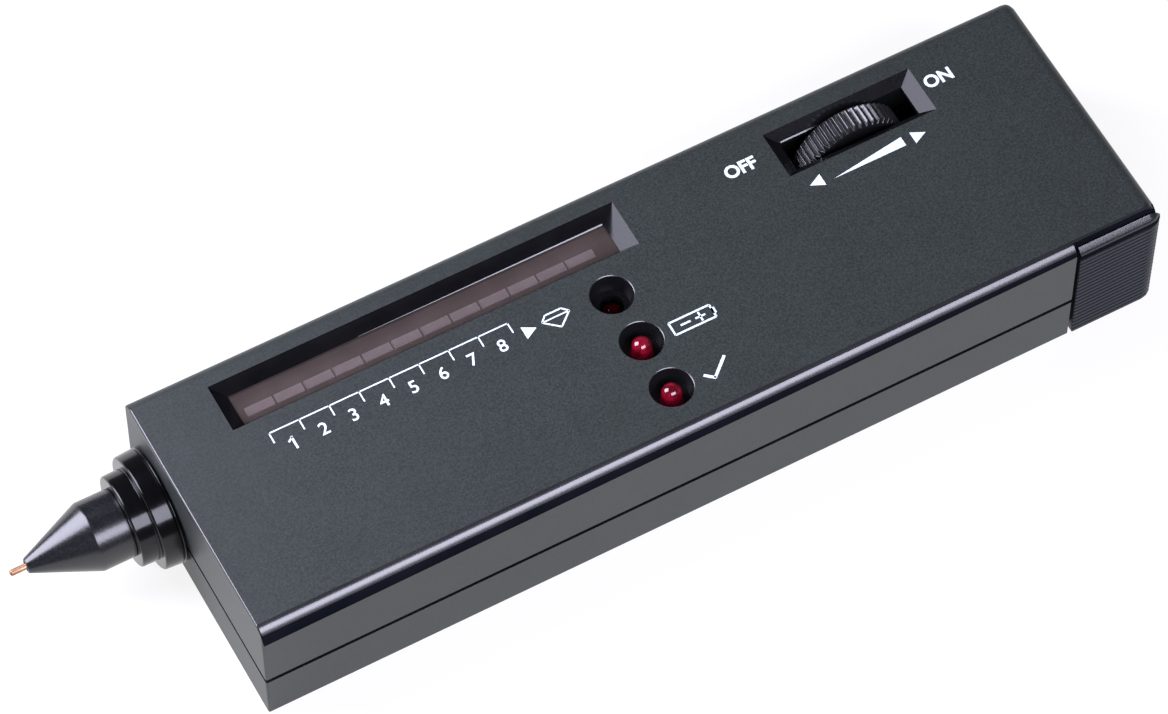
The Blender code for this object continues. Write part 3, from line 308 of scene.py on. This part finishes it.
lamp_red = lamp_finish(
    "clear_red_lamp", dark=(0.075, 0.001, 0.005), light=(0.2, 0.003, 0.016), specular=0.5, coat=0.6
)
# A darker copy of the red lamp's finish with little gloss: painted shade for the power lamp deep in its
# well
shaded_lamp = lamp_finish(
    "shaded_red_lamp", dark=(0.014, 0.0004, 0.0006), light=(0.032, 0.0008, 0.001), specular=0.1, coat=0.0
)

# Inside
steel = grained(
    "turned_steel", dark=(0.45, 0.45, 0.47), light=(0.62, 0.62, 0.64), rough=(0.25, 0.42),
    grain=3000, depth=0.000006, metal=1.0, patch=500,
)
insulator = grained(
    "moulded_insulator", dark=(0.66, 0.65, 0.6), light=(0.76, 0.75, 0.7), rough=(0.4, 0.55),
    grain=2000, depth=0.00001,
)
ceramic = grained(
    "fired_ceramic", dark=(0.6, 0.55, 0.45), light=(0.72, 0.67, 0.57), rough=(0.6, 0.8),
    grain=3000, depth=0.00002,
)
chip_plastic = grained(
    "chip_plastic", dark=(0.014, 0.014, 0.015), light=(0.022, 0.022, 0.023), rough=(0.5, 0.7),
    grain=5000, depth=0.000015,
)
blue_sleeve = grained(
    "blue_sleeve", dark=(0.015, 0.06, 0.26), light=(0.025, 0.09, 0.36), rough=(0.25, 0.4),
    grain=2000, depth=0.00001,
)
battery_jacket = grained(
    "battery_jacket", dark=(0.05, 0.052, 0.06), light=(0.07, 0.072, 0.082), rough=(0.25, 0.38),
    grain=1500, depth=0.00001, metal=0.5,
)
red_insulation = grained(
    "red_insulation", dark=(0.42, 0.015, 0.015), light=(0.52, 0.025, 0.02), rough=(0.35, 0.5),
    grain=2500, depth=0.00001,
)
black_insulation = grained(
    "black_insulation", dark=(0.012, 0.012, 0.013), light=(0.02, 0.02, 0.021), rough=(0.4, 0.55),
    grain=2500, depth=0.00001,
)
board_green = board_finish()

# Finishes of the case halves and of the door, in the order in which their faces number them
CASE_FINISHES = [moulded, shaded_slope_plastic, shaded_black, worn_edge, painted_dark]
GRAINED, SHADED_SLOPE, SHADED_BLACK, SMOOTH, PAINTED_DARK = range(5)
DOOR_FINISHES = [ribbed_plastic, door_gloss, painted_dark]
RIBBED, DOOR_SMOOTH, DOOR_PAINTED_DARK = range(3)


# Making pieces

def add_piece(name, bm, finishes, body, node=None, smooth=35):
    """A piece whose faces are smooth up to an angle, and whose large faces keep their normals."""
    mesh = bpy.data.meshes.new(name)
    bm.to_mesh(mesh)
    bm.free()
    for finish in finishes:
        mesh.materials.append(finish)
    mesh.shade_smooth()
    mesh.set_sharp_from_angle(angle=math.radians(smooth))
    piece = bpy.data.objects.new(name, mesh)
    bpy.context.scene.collection.objects.link(piece)
    weighted = piece.modifiers.new("Face weighted normals", "WEIGHTED_NORMAL")
    weighted.keep_sharp = True
    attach(piece, body)
    if node:
        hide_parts(node)
    return piece


def joined_copy(node):
    """The node's solid with its loose triangles joined, in one finish."""
    bm = bmesh.new()
    bm.from_mesh(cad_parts[node].data)
    bmesh.ops.remove_doubles(bm, verts=bm.verts, dist=0.000001)
    for face in bm.faces:
        face.material_index = 0
    return bm


def merged_copy(node):
    """The node's solid with its triangles merged back into whole faces."""
    bm = joined_copy(node)
    bmesh.ops.dissolve_limit(bm, angle_limit=math.radians(0.5), verts=bm.verts, edges=bm.edges)
    return bm


def bevel_edges(bm, edges, width, segments, clamp):
    bmesh.ops.bevel(
        bm, geom=edges, offset=width, offset_type="OFFSET", segments=segments, profile=0.5,
        affect="EDGES", clamp_overlap=clamp, material=-1,
    )


def soften(bm, width):
    """A small round on each edge that is sharper than 32 degrees and not tiny."""
    sharp = [
        edge
        for edge in bm.edges
        if len(edge.link_faces) == 2
        and edge.calc_length() > 0.0003
        and edge.calc_face_angle() > math.radians(32)
    ]
    bevel_edges(bm, sharp, width, 2, True)


def give_finish(bm, finish_at):
    for face in bm.faces:
        face.material_index = finish_at(face)


def between(rows, place):
    """The pair of numbers at a place along rows of pairs. The first row is place 0, the next place 1."""
    index = min(int(place), len(rows) - 2)
    start, end = Vector(rows[index]), Vector(rows[index + 1])
    return start.lerp(end, place - index)


# Case halves

def open_seam(bm, rim, shift):
    """The rim of a case half moves, so that the seam shows as wide as on the real tester."""
    for vert in bm.verts:
        if abs(vert.co.z - rim) < SAME:
            vert.co.z += shift


def fuller_edge(bm):
    """The near top rounding is drawn further down the side, most of all at the front."""
    middle = Vector((EDGE_RADIUS - WIDTH / 2, HEIGHT - EDGE_RADIUS))
    inside, outside = 0.0019, EDGE_RADIUS + 0.00005
    for vert in bm.verts:
        away = Vector((middle.x - vert.co.y, vert.co.z - middle.y))
        reach = away.length
        in_corner = away.x >= -SAME and away.y >= -SAME and inside < reach < outside
        if not in_corner or vert.co.x > LENGTH / 2 - 0.002:
            continue
        if vert.co.x > WALL_START and abs(vert.co.y - y_at(WALL_DEPTH)) < SAME:
            vert.co.z = HEIGHT - MARGIN
            continue
        place = min(math.degrees(math.atan2(max(away.y, 0), max(away.x, 0))) / 22.5, 4.0)
        back = min(max(vert.co.x / LENGTH + 0.5, 0.0), 1.0)
        inset, drop = between(FRONT_ROUNDING, place).lerp(between(REAR_ROUNDING, place), back)
        inwards = away.normalized() * (EDGE_RADIUS - reach)
        vert.co.y = inset - WIDTH / 2 + inwards.x
        vert.co.z = HEIGHT - drop - inwards.y


def well_rims(bm):
    """A narrow chamfer round each lamp well."""
    rims = [
        edge
        for edge in bm.edges
        if all(
            abs(vert.co.z - HEIGHT) < SAME
            and any(math.hypot(vert.co.x - x_at(x), vert.co.y - y_at(y)) < WELL_RIM for x, y in WELLS)
            for vert in edge.verts
        )
    ]
    bevel_edges(bm, rims, 0.00009, 1, False)


def tuck_corner(bm):
    """Softening leaves a point of the front corner outside the far rounding. It goes back onto it."""
    middle = Vector((WIDTH / 2 - EDGE_RADIUS, HEIGHT - EDGE_RADIUS))
    for vert in bm.verts:
        away = Vector((vert.co.y, vert.co.z)) - middle
        if min(away) > 0 and away.length > EDGE_RADIUS + 0.00003:
            vert.co.y, vert.co.z = middle + away.normalized() * (EDGE_RADIUS - 0.00006)


def far_lip(bm, start, end, foot, narrow):
    """A thin lip that catches the light along the foot of an opening's far slope."""
    before = set(bm.faces)
    verts = bmesh.ops.create_cube(bm, size=1.0)["verts"]
    bmesh.ops.scale(bm, vec=(end - start, 0.00022, 0.00008), verts=verts)
    for vert in verts:
        if vert.co.x < 0:
            vert.co.y *= narrow
    bmesh.ops.rotate(bm, cent=(0, 0, 0), matrix=Matrix.Rotation(math.radians(40), 3, "X"), verts=verts)
    place = Vector((x_at((start + end) / 2), y_at(foot[0]), foot[1]))
    bmesh.ops.translate(bm, vec=place, verts=verts)
    for face in set(bm.faces) - before:
        face.material_index = SMOOTH


def edge_finish(face):
    """Smooth on the upper near top rounding and painted dark as shade on its lower part, smooth on the
    top's front edge and on rims, or else None.
    """
    spot, way = face.calc_center_median(), face.normal
    if spot.z < ROUNDING_FOOT or not 0.03 < way.z < 0.98:
        return None
    if spot.y < EDGE_RADIUS - WIDTH / 2 and way.y < -0.1:
        return SMOOTH if way.z > 0.6 else PAINTED_DARK
    front = spot.x < 0.0004 - LENGTH / 2 and way.x < -0.1
    rim = spot.z > HEIGHT - 0.00015 and abs(spot.x) < LENGTH / 2 - 0.003
    return SMOOTH if front or rim else None


def case_finish(face):
    """Grained outside; smooth and painted darker as shade on the slopes of the openings; painted black as
    shade in the wells and on the parting line; painted dark as shade on the wall behind the door's wing.
    """
    edge = edge_finish(face)
    if edge:
        return edge
    spot, way = face.calc_center_median(), face.normal
    if spot.z > HEIGHT - MARGIN:
        return GRAINED
    level = max(abs(way.x), abs(way.y)) < 0.9
    # The parting faces at the seam are painted black as shade
    if abs(spot.z - SEAM_Z) < 0.0005 and face.calc_area() < SEAM_FACE and level:
        return SHADED_BLACK
    # The wall behind the door's wing is painted dark as shade where it shows
    if spot.x > WALL_START and abs(spot.y - y_at(WALL_DEPTH)) < 0.00005 and spot.z > WALL_SHOWN:
        return PAINTED_DARK
    # Inside the lamp wells is painted black as shade
    for x, y in WELLS:
        if math.hypot(spot.x - x_at(x), spot.y - y_at(y)) < WELL_INSIDE:
            return SHADED_BLACK
    # The slopes inside the openings are smooth and painted darker as shade
    for front, rear, near, far in OPENINGS:
        along = x_at(front) - MARGIN < spot.x < x_at(rear) + MARGIN
        if along and y_at(near) - MARGIN < spot.y < y_at(far) + MARGIN:
            return SHADED_SLOPE
    return GRAINED


def case_top():
    bm = merged_copy("upper_case")
    open_seam(bm, 0.0096, 0.00015)
    fuller_edge(bm)
    well_rims(bm)
    soften(bm, SOFT_EDGE)
    tuck_corner(bm)
    give_finish(bm, case_finish)
    far_lip(bm, 0.0345, 0.07405, (0.03788, 0.0206), 0.1)
    far_lip(bm, 0.1034, 0.1112, (0.03754, 0.02128), 1.0)
    add_piece("case_top", bm, CASE_FINISHES, "case", "upper_case")


def case_bottom():
    bm = merged_copy("lower_case")
    open_seam(bm, 0.009, -0.0001)
    soften(bm, SOFT_EDGE)
    give_finish(bm, case_finish)
    add_piece("case_bottom", bm, CASE_FINISHES, "case", "lower_case")


case_top()
case_bottom()


# Battery door

def door_depth(vert):
    """How far a point lies inside the door's outer face, and the way inwards there."""
    corner = Vector((DOOR_END - DOOR_CORNER, DOOR_CORNER - WIDTH / 2))
    here = Vector(vert.co.xy)
    if here.x > corner.x and here.y < corner.y:
        way = corner - here
        return DOOR_CORNER - way.length, way.normalized()
    if here.y < corner.y:
        return vert.co.y + WIDTH / 2, Vector((0, 1))
    return DOOR_END - vert.co.x, Vector((-1, 0))


def door_finish(face):
    """Ribs below, then a band painted dark as shade and a smooth top edge."""
    if face.calc_center_median().z < RIBS_END:
        return RIBBED
    return DOOR_SMOOTH if face.normal.z > 0.55 else DOOR_PAINTED_DARK


def ribbed_door():
    """The door's ribs lean back from a narrow lip below, and its top edge is drawn further down."""
    bm = merged_copy("battery_door")
    steps = list(zip(SOLID_ROUNDING, SOLID_ROUNDING[1:]))
    for vert in bm.verts:
        depth, way = door_depth(vert)
        rib = (vert.co.z - RIB_START) / RIB_PITCH
        on_ribs = -0.01 < rib < RIB_COUNT + 0.01 and vert.co.z > 0.001 and depth < 0.0004
        moved = RIB_LEAN if on_ribs and abs(rib % 1 - RIB_LIP) > 0.03 else 0.0
        if vert.co.z > DOOR_EDGE and depth < DOOR_WALL:
            place = sum(min(max(vert.co.z - low[1], 0) / (high[1] - low[1]), 1) for low, high in steps)
            inset, height = between(DOOR_ROUNDING, place)
            solid_inset = between(SOLID_ROUNDING, place)[0]
            moved = inset - solid_inset if depth < solid_inset + MARGIN else 0.0
            vert.co.z = height
        vert.co.x += way.x * moved
        vert.co.y += way.y * moved
    soften(bm, 0.00004)
    give_finish(bm, door_finish)
    add_piece("battery_door", bm, DOOR_FINISHES, "door", "battery_door")


ribbed_door()


# Round pieces

def spun(profile, centre, along, side, steps=96):
    """A section of (distance along the axis, radius), spun. It is closed where an end is off the axis."""
    bm = bmesh.new()
    verts = [bm.verts.new(along * distance + side * radius) for distance, radius in profile]
    first = 0 if profile[0][1] + profile[-1][1] > 0 else 1
    edges = [bm.edges.new((verts[i - 1], verts[i])) for i in range(first, len(verts))]
    bmesh.ops.spin(
        bm, geom=verts + edges, cent=(0, 0, 0), axis=along, angle=math.tau, steps=steps, use_merge=True
    )
    bmesh.ops.remove_doubles(bm, verts=bm.verts, dist=0.0000005)
    bmesh.ops.recalc_face_normals(bm, faces=bm.faces)
    bmesh.ops.translate(bm, vec=centre, verts=bm.verts)
    return bm


def rounded(corners, radius):
    """The corners as points. A corner that has a share of the radius becomes a short arc."""
    made, steps = [], 3
    for index, (point, share) in enumerate(corners):
        if not share or index in (0, len(corners) - 1):
            made.append(point)
            continue
        here = Vector(point)
        before = Vector(corners[index - 1][0]) - here
        after = Vector(corners[index + 1][0]) - here
        reach = min(radius * share, before.length * 0.45, after.length * 0.45)
        start = here + before.normalized() * reach
        end = here + after.normalized() * reach
        for step in range(steps + 1):
            t = step / steps
            made.append(tuple(start * (1 - t) ** 2 + here * 2 * t * (1 - t) + end * t * t))
    return made


def probe_piece(name, node, corners, finish, body="case", radius=0.00022):
    """A turned piece. Each corner has its millimetres behind the case's front, radius and rounding."""
    profile = rounded([((x_at(x / 1000), r / 1000), share) for x, r, share in corners], radius)
    bm = spun(profile, (0, PROBE_Y, PROBE_Z), Vector((1, 0, 0)), Vector((0, 0, 1)))
    add_piece(name, bm, [finish], body, node)


COLLAR = (
    (4.1, 4.1, 0), (4.1, 6.9, 1), (2.1, 6.9, 1), (2.1, 5.8, 1), (-0.3, 5.8, 0), (-0.3, 8.9, 1),
    (-0.55, 8.95, 1), (-0.68, 8.72, 1), (-0.82, 8.95, 1), (-3.6, 8.76, 1.6), (-3.6, 7.12, 0.6),
    (-6.4, 7.06, 1.6), (-6.4, 4.1, 0),
)
NOSE = (
    (1.3, 2.4, 0), (1.3, 3.8, 1), (-6.45, 3.8, 0), (-6.45, 5.28, 0.3), (-11.5, 5.3, 1), (-21.4, 1.1, 1),
    (-21.4, 0.78, 0.3), (-18.8, 0.78, 0), (-18.8, 1.35, 0), (-13.8, 1.35, 0), (-13.8, 2.4, 0),
)
PIN = (
    (-12.3, 0, 0), (-12.3, 1.9, 1), (-13.5, 1.9, 1), (-13.5, 0.48, 1), (-23.7, 0.48, 1.2), (-23.9, 0.3, 1),
    (-23.9, 0, 0),
)
probe_piece("stepped_collar", "probe_collar", COLLAR, polished)
probe_piece("nose", "nose_cone", NOSE, satin_nose)
probe_piece("tip_pin", "probe_tip", PIN, copper, body="tip", radius=0.0001)


def pressed_piece(name, node, finish):
    """The spring and the leads behind the pin, each on a mesh of its own and without face-weighted normals.
    """
    piece = add_piece(name, joined_copy(node), [finish], "case", node, smooth=50)
    piece.modifiers.clear()
    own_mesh(piece)


pressed_piece("pin_spring", "tip_spring", steel)
pressed_piece("pin_lead_left", "probe_lead_1", insulator)
pressed_piece("pin_lead_right", "probe_lead_2", insulator)


def level_wheel():
    """Fifty ridges with flat flanks across a drum, with a recessed web on both faces."""
    ridges, outer, ridge_height, half = 50, 0.008745, 0.00062, 0.00195
    places = (0, 0.06, 0.22, 0.38, 0.455, 0.5, 0.545, 0.62, 0.78, 0.94)
    heights = (0, 0.04, 0.42, 0.84, 0.97, 1, 0.97, 0.84, 0.42, 0.04)
    points = len(places)
    bm = bmesh.new()
    ring = bmesh.ops.create_circle(bm, cap_ends=False, radius=outer, segments=ridges * points)["verts"]
    for index, vert in enumerate(ring):
        ridge, point = divmod(index, points)
        angle = math.tau * (ridge + places[point]) / ridges
        radius = outer - ridge_height * (1 - heights[point])
        vert.co = (radius * math.cos(angle), radius * math.sin(angle), 0)
    base = [vert.co.copy() for vert in ring]

    # From the web out to the ridges on one face, then back to the web on the other. None keeps the ridges.
    face = ((0.0007, 0.0071), (0.0007, 0.0073), (0, 0.0074), (0, 0.008), (0.0005, None))
    levels = [(-half + inset, radius) for inset, radius in face]
    levels += [(half - inset, radius) for inset, radius in reversed(face)]

    def shape(verts, level):
        z, radius = level
        for vert, origin in zip(verts, base):
            flat = origin if radius is None else origin.normalized() * radius
            vert.co = (flat.x, flat.y, z)

    verts, edges = list(ring), list(bm.edges)
    shape(verts, levels[0])
    for level in levels[1:]:
        order = {vert: index for index, vert in enumerate(verts)}
        grown = bmesh.ops.extrude_edge_only(bm, edges=edges)["geom"]
        edges = [item for item in grown if isinstance(item, bmesh.types.BMEdge)]
        partner = {}
        for vert in grown:
            if not isinstance(vert, bmesh.types.BMVert):
                continue
            for edge in vert.link_edges:
                other = edge.other_vert(vert)
                if other in order:
                    partner[order[other]] = vert
        verts = [partner[index] for index in range(len(base))]
        shape(verts, level)
    rims = [edge for edge in bm.edges if edge.is_boundary]
    for web in bmesh.ops.holes_fill(bm, edges=rims)["faces"]:
        bmesh.ops.inset_individual(bm, faces=[web], thickness=0.0041)
    bmesh.ops.recalc_face_normals(bm, faces=bm.faces)
    bmesh.ops.rotate(bm, cent=(0, 0, 0), matrix=Matrix.Rotation(-math.pi / 2, 3, "X"), verts=bm.verts)
    bmesh.ops.translate(bm, vec=WHEEL, verts=bm.verts)
    add_piece("knurled_wheel", bm, [wheel_plastic], "wheel", "volume_wheel", smooth=50)


level_wheel()


def lamp(name, node, drop, finish):
    """A domed lamp with a foot ring and two legs. Its top is a drop below the case's face."""
    low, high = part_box(node)
    centre = Vector(((low.x + high.x) / 2, (low.y + high.y) / 2, 0))
    top = HEIGHT - drop
    foot = top - 0.0043
    base = foot - 0.001
    turns = [math.pi / 2 * i / 12 for i in range(13)]
    profile = [(top - LAMP_RADIUS + LAMP_RADIUS * math.cos(a), LAMP_RADIUS * math.sin(a)) for a in turns]
    profile += [(top - 0.003, 0.00168), (foot, 0.0017), (foot, 0.00185), (foot - 0.0001, 0.0019)]
    profile += [(foot - 0.0009, 0.0019), (base, 0.0018), (base, 0.0)]
    bm = spun(profile, centre, Vector((0, 0, 1)), Vector((1, 0, 0)), 48)
    leg_length = base - low.z
    for side in (-1, 1):
        verts = bmesh.ops.create_cube(bm, size=1.0)["verts"]
        bmesh.ops.transform(bm, matrix=Matrix.Diagonal((0.0005, 0.0005, leg_length, 1)), verts=verts)
        place = centre + Vector((0, side * 0.00127, low.z + leg_length / 2))
        bmesh.ops.translate(bm, vec=place, verts=verts)
    add_piece(name, bm, [finish], "case", node)


lamp("power_lamp", "lamp_power", 0.0036, shaded_lamp)
lamp("battery_lamp", "lamp_battery", 0, lamp_red)
lamp("ready_lamp", "lamp_ready", 0, lamp_red)


# Printing on the top face: widths in millimetres, and places in millimetres from the front and near side

def words(text, middle, bold):
    """Type as a flat mesh, centred on a place."""
    curve = bpy.data.curves.new(text, "FONT")
    curve.body = text
    curve.size = TYPE_SIZE
    curve.align_x = "CENTER"
    curve.align_y = "CENTER"
    curve.offset = bold
    curve.extrude = INK_THICKNESS / 2
    curve.resolution_u = 6
    holder = bpy.data.objects.new(text, curve)
    bpy.context.scene.collection.objects.link(holder)
    bpy.context.view_layer.update()
    mesh = bpy.data.meshes.new_from_object(holder.evaluated_get(bpy.context.evaluated_depsgraph_get()))
    bpy.data.objects.remove(holder)
    bm = bmesh.new()
    bm.from_mesh(mesh)
    bpy.data.meshes.remove(mesh)
    xs = [vert.co.x for vert in bm.verts]
    ys = [vert.co.y for vert in bm.verts]
    centre = Vector(((min(xs) + max(xs)) / 2, (min(ys) + max(ys)) / 2, 0))
    place = Vector((x_at(middle[0] / 1000), y_at(middle[1] / 1000), HEIGHT + INK_THICKNESS / 2))
    bmesh.ops.translate(bm, vec=place - centre, verts=bm.verts)
    return bm


def patch(points):
    """A filled outline."""
    bm = bmesh.new()
    verts = [bm.verts.new((x_at(x / 1000), y_at(y / 1000), HEIGHT)) for x, y in points]
    face = bmesh.ops.contextual_create(bm, geom=verts)["faces"]
    grown = bmesh.ops.extrude_face_region(bm, geom=face)["geom"]
    top = [item for item in grown if isinstance(item, bmesh.types.BMVert)]
    bmesh.ops.translate(bm, vec=(0, 0, INK_THICKNESS), verts=top)
    bmesh.ops.recalc_face_normals(bm, faces=bm.faces)
    return bm


def stroke(x0, y0, x1, y1, width):
    along = Vector((x1 - x0, y1 - y0)).normalized() * width / 2
    side = Vector((-along.y, along.x))
    a, b = Vector((x0, y0)), Vector((x1, y1))
    return patch([a - side, b - side, b + side, a + side])


def outline(points, width):
    closed = list(points) + [points[0]]
    return [stroke(*closed[i], *closed[i + 1], width) for i in range(len(points))]


def printed(name, marks):
    """One piece of ink from all its marks."""
    whole = bmesh.new()
    for mark in marks:
        mesh = bpy.data.meshes.new("mark")
        mark.to_mesh(mesh)
        mark.free()
        whole.from_mesh(mesh)
        bpy.data.meshes.remove(mesh)
    add_piece(name, whole, [ink], "case")


def scale_print():
    """A line with nine ticks, the numbers 1 to 8, and an arrow to a gem."""
    line = 0.21
    marks = [stroke(15.44, 28.4, 53.66, 28.4, line)]
    marks += [stroke(15.56 + 4.7475 * i, 28.5, 15.56 + 4.7475 * i, 26.6, line) for i in range(9)]
    marks += [stroke(18.1, 26.5, 18.1, 24.3, 0.34), stroke(18.2, 26.35, 17.4, 25.8, 0.28)]
    marks += [words(str(i + 1), (18.0 + 4.743 * i, 25.45), bold=0.00002) for i in range(1, 8)]
    marks.append(patch([(54.85, 24.7), (56.85, 25.8), (54.85, 26.9)]))
    gem = [(57.9, 26.1), (58.8, 27.0), (61.4, 27.0), (62.3, 26.1), (60.1, 24.2)]
    marks += outline(gem, 0.26) + [stroke(57.9, 26.1, 62.3, 26.1, 0.22)]
    printed("scale_print", marks)


def wheel_print():
    """OFF and ON, and a wedge that grows from one arrow to the other."""
    marks = [words("OFF", (95.6, 35.6), bold=0.00009), words("ON", (128.6, 35.5), bold=0.00009)]
    marks.append(patch([(105.05, 27.1), (105.05, 29.2), (102.9, 28.1)]))
    marks.append(patch([(120.07, 27.1), (122.2, 28.15), (120.07, 29.2)]))
    marks.append(patch([(106.6, 27.5), (118.6, 27.5), (118.6, 29.1)]))
    printed("wheel_print", marks)


def lamp_print():
    """A battery with its two signs beside the middle lamp, and a tick beside the near one."""
    line = 0.3
    battery_mark = outline([(73.6, 15.2), (80.2, 15.2), (80.2, 17.4), (73.6, 17.4)], line)
    battery_mark += [stroke(80.35, 15.8, 80.35, 16.8, 0.6), stroke(75.0, 16.3, 76.6, 16.3, line)]
    battery_mark += [stroke(77.4, 16.3, 79.0, 16.3, line), stroke(78.2, 15.5, 78.2, 17.1, line)]
    ready_mark = [stroke(73.8, 7.5, 75.2, 6.3, 0.45), stroke(75.05, 6.35, 78.0, 9.0, 0.45)]
    printed("lamp_print", battery_mark + ready_mark)


scale_print()
wheel_print()
lamp_print()


# The solids that stay as they are get their finishes

def dress(finish, *nodes):
    for node in nodes:
        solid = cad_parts[node].data
        solid.materials.clear()
        solid.materials.append(finish)


dress(window_tint, "display_window")
dress(bar_milk, *[f"display_bar_{i:02d}" for i in range(1, 13)])
dress(chip_plastic, "display_housing", "display_driver", "amplifier", "heater_transistor", "buzzer")
dress(chip_plastic, "potentiometer", "thermistor")
dress(board_green, "main_board")
dress(blue_sleeve, "capacitor_1", "capacitor_2", "calibration_trimmer")
dress(steel, "wheel_spindle", "wheel_screw", "spring_seat", "board_screw_1", "board_screw_2")
dress(steel, *[f"case_screw_{i}" for i in range(1, 5)])
dress(insulator, "tip_carrier")
dress(ceramic, "tip_heater")
dress(battery_jacket, "battery")
dress(black_insulation, "battery_snap", "battery_lead_black")
dress(red_insulation, "battery_lead_red")


# Floor, light and camera

def floor():
    """White table, darker far away. The camera, gloss and glass see it lifted, with its shadow."""
    bm = bmesh.new()
    bmesh.ops.create_grid(bm, x_segments=1, y_segments=1, size=3.0)
    bmesh.ops.translate(bm, vec=(0, 0, -0.00005), verts=bm.verts)
    mesh = bpy.data.meshes.new("table_top")
    bm.to_mesh(mesh)
    bm.free()
    made, tree, shader = shader_of("white_table")
    reach = tree.nodes.new("ShaderNodeVectorMath")
    reach.operation = "LENGTH"
    tree.links.new(object_place(tree), reach.inputs[0])
    fade = tree.nodes.new("ShaderNodeMapRange")
    for slot, amount in (("From Min", 0.14), ("From Max", 1.0), ("To Min", 1.0), ("To Max", 0.5)):
        fade.inputs[slot].default_value = amount
    tree.links.new(reach.outputs["Value"], fade.inputs["Value"])
    colour = ramp(tree, fade.outputs["Result"], (0.0, 0.0, 0.0), (0.2, 0.197, 0.182), 0.0, 1.0)
    tree.links.new(colour, shader.inputs["Base Color"])
    shader.inputs["Roughness"].default_value = 0.7
    shader.inputs["Specular IOR Level"].default_value = 0.2
    path = tree.nodes.new("ShaderNodeLightPath").outputs
    seen = maths(tree, "MAXIMUM", path["Is Camera Ray"], path["Is Glossy Ray"])
    seen = maths(tree, "MAXIMUM", seen, path["Is Transmission Ray"])
    glow = maths(tree, "MULTIPLY", maths(tree, "MULTIPLY", seen, 0.8), fade.outputs["Result"])
    shader.inputs["Emission Color"].default_value = (1, 1, 1, 1)
    tree.links.new(glow, shader.inputs["Emission Strength"])
    mesh.materials.append(made)
    table = bpy.data.objects.new("table_top", mesh)
    bpy.context.scene.collection.objects.link(table)


def soft_light(name, place, target, size, power):
    """A cool rectangular studio light that points at a target."""
    lamp_data = bpy.data.lights.new(name, "AREA")
    lamp_data.shape = "RECTANGLE"
    lamp_data.size, lamp_data.size_y = size
    lamp_data.energy = power
    lamp_data.color = (0.82, 0.82, 1.0)
    holder = bpy.data.objects.new(name, lamp_data)
    holder.location = place
    holder.rotation_euler = (Vector(target) - Vector(place)).to_track_quat("-Z", "Y").to_euler()
    bpy.context.scene.collection.objects.link(holder)


def camera():
    """The photo's own view, as its perspective gives it."""
    lens = bpy.data.cameras.new("photo_view")
    lens.lens = 173.511
    lens.sensor_width = 36.0
    lens.clip_start = 0.01
    holder = bpy.data.objects.new("photo_view", lens)
    holder.location = (-0.209496, -0.369795, 0.702553)
    holder.rotation_euler = (0.549356, 0.002631, -0.498036)
    bpy.context.scene.collection.objects.link(holder)
    bpy.context.scene.camera = holder


def room():
    """A dim studio, darkest overhead."""
    world = bpy.data.worlds.new("studio")
    bpy.context.scene.world = world
    world.use_nodes = True
    tree = world.node_tree
    way = tree.nodes.new("ShaderNodeTexCoord")
    parts = tree.nodes.new("ShaderNodeSeparateXYZ")
    shade = tree.nodes.new("ShaderNodeValToRGB")
    level, overhead = shade.color_ramp.elements
    level.position, level.color = 0.0, (0.2, 0.2, 0.215, 1)
    overhead.position, overhead.color = 0.7, (0.06, 0.06, 0.063, 1)
    shade.color_ramp.elements.new(0.2).color = (0.12, 0.12, 0.13, 1)
    tree.links.new(way.outputs["Generated"], parts.inputs[0])
    tree.links.new(parts.outputs["Z"], shade.inputs["Fac"])
    tree.links.new(shade.outputs["Color"], tree.nodes["Background"].inputs["Color"])


floor()
soft_light("near_box", (0.0, -0.62, 0.61), (-0.03, 0, 0.01), (0.8, 0.42), 12.2)
soft_light("far_left_box", (-0.22, 0.16, 0.2), (-0.05, 0, 0.01), (0.2, 0.26), 2.3)
room()
camera()
bpy.context.scene.view_settings.view_transform = "Standard"
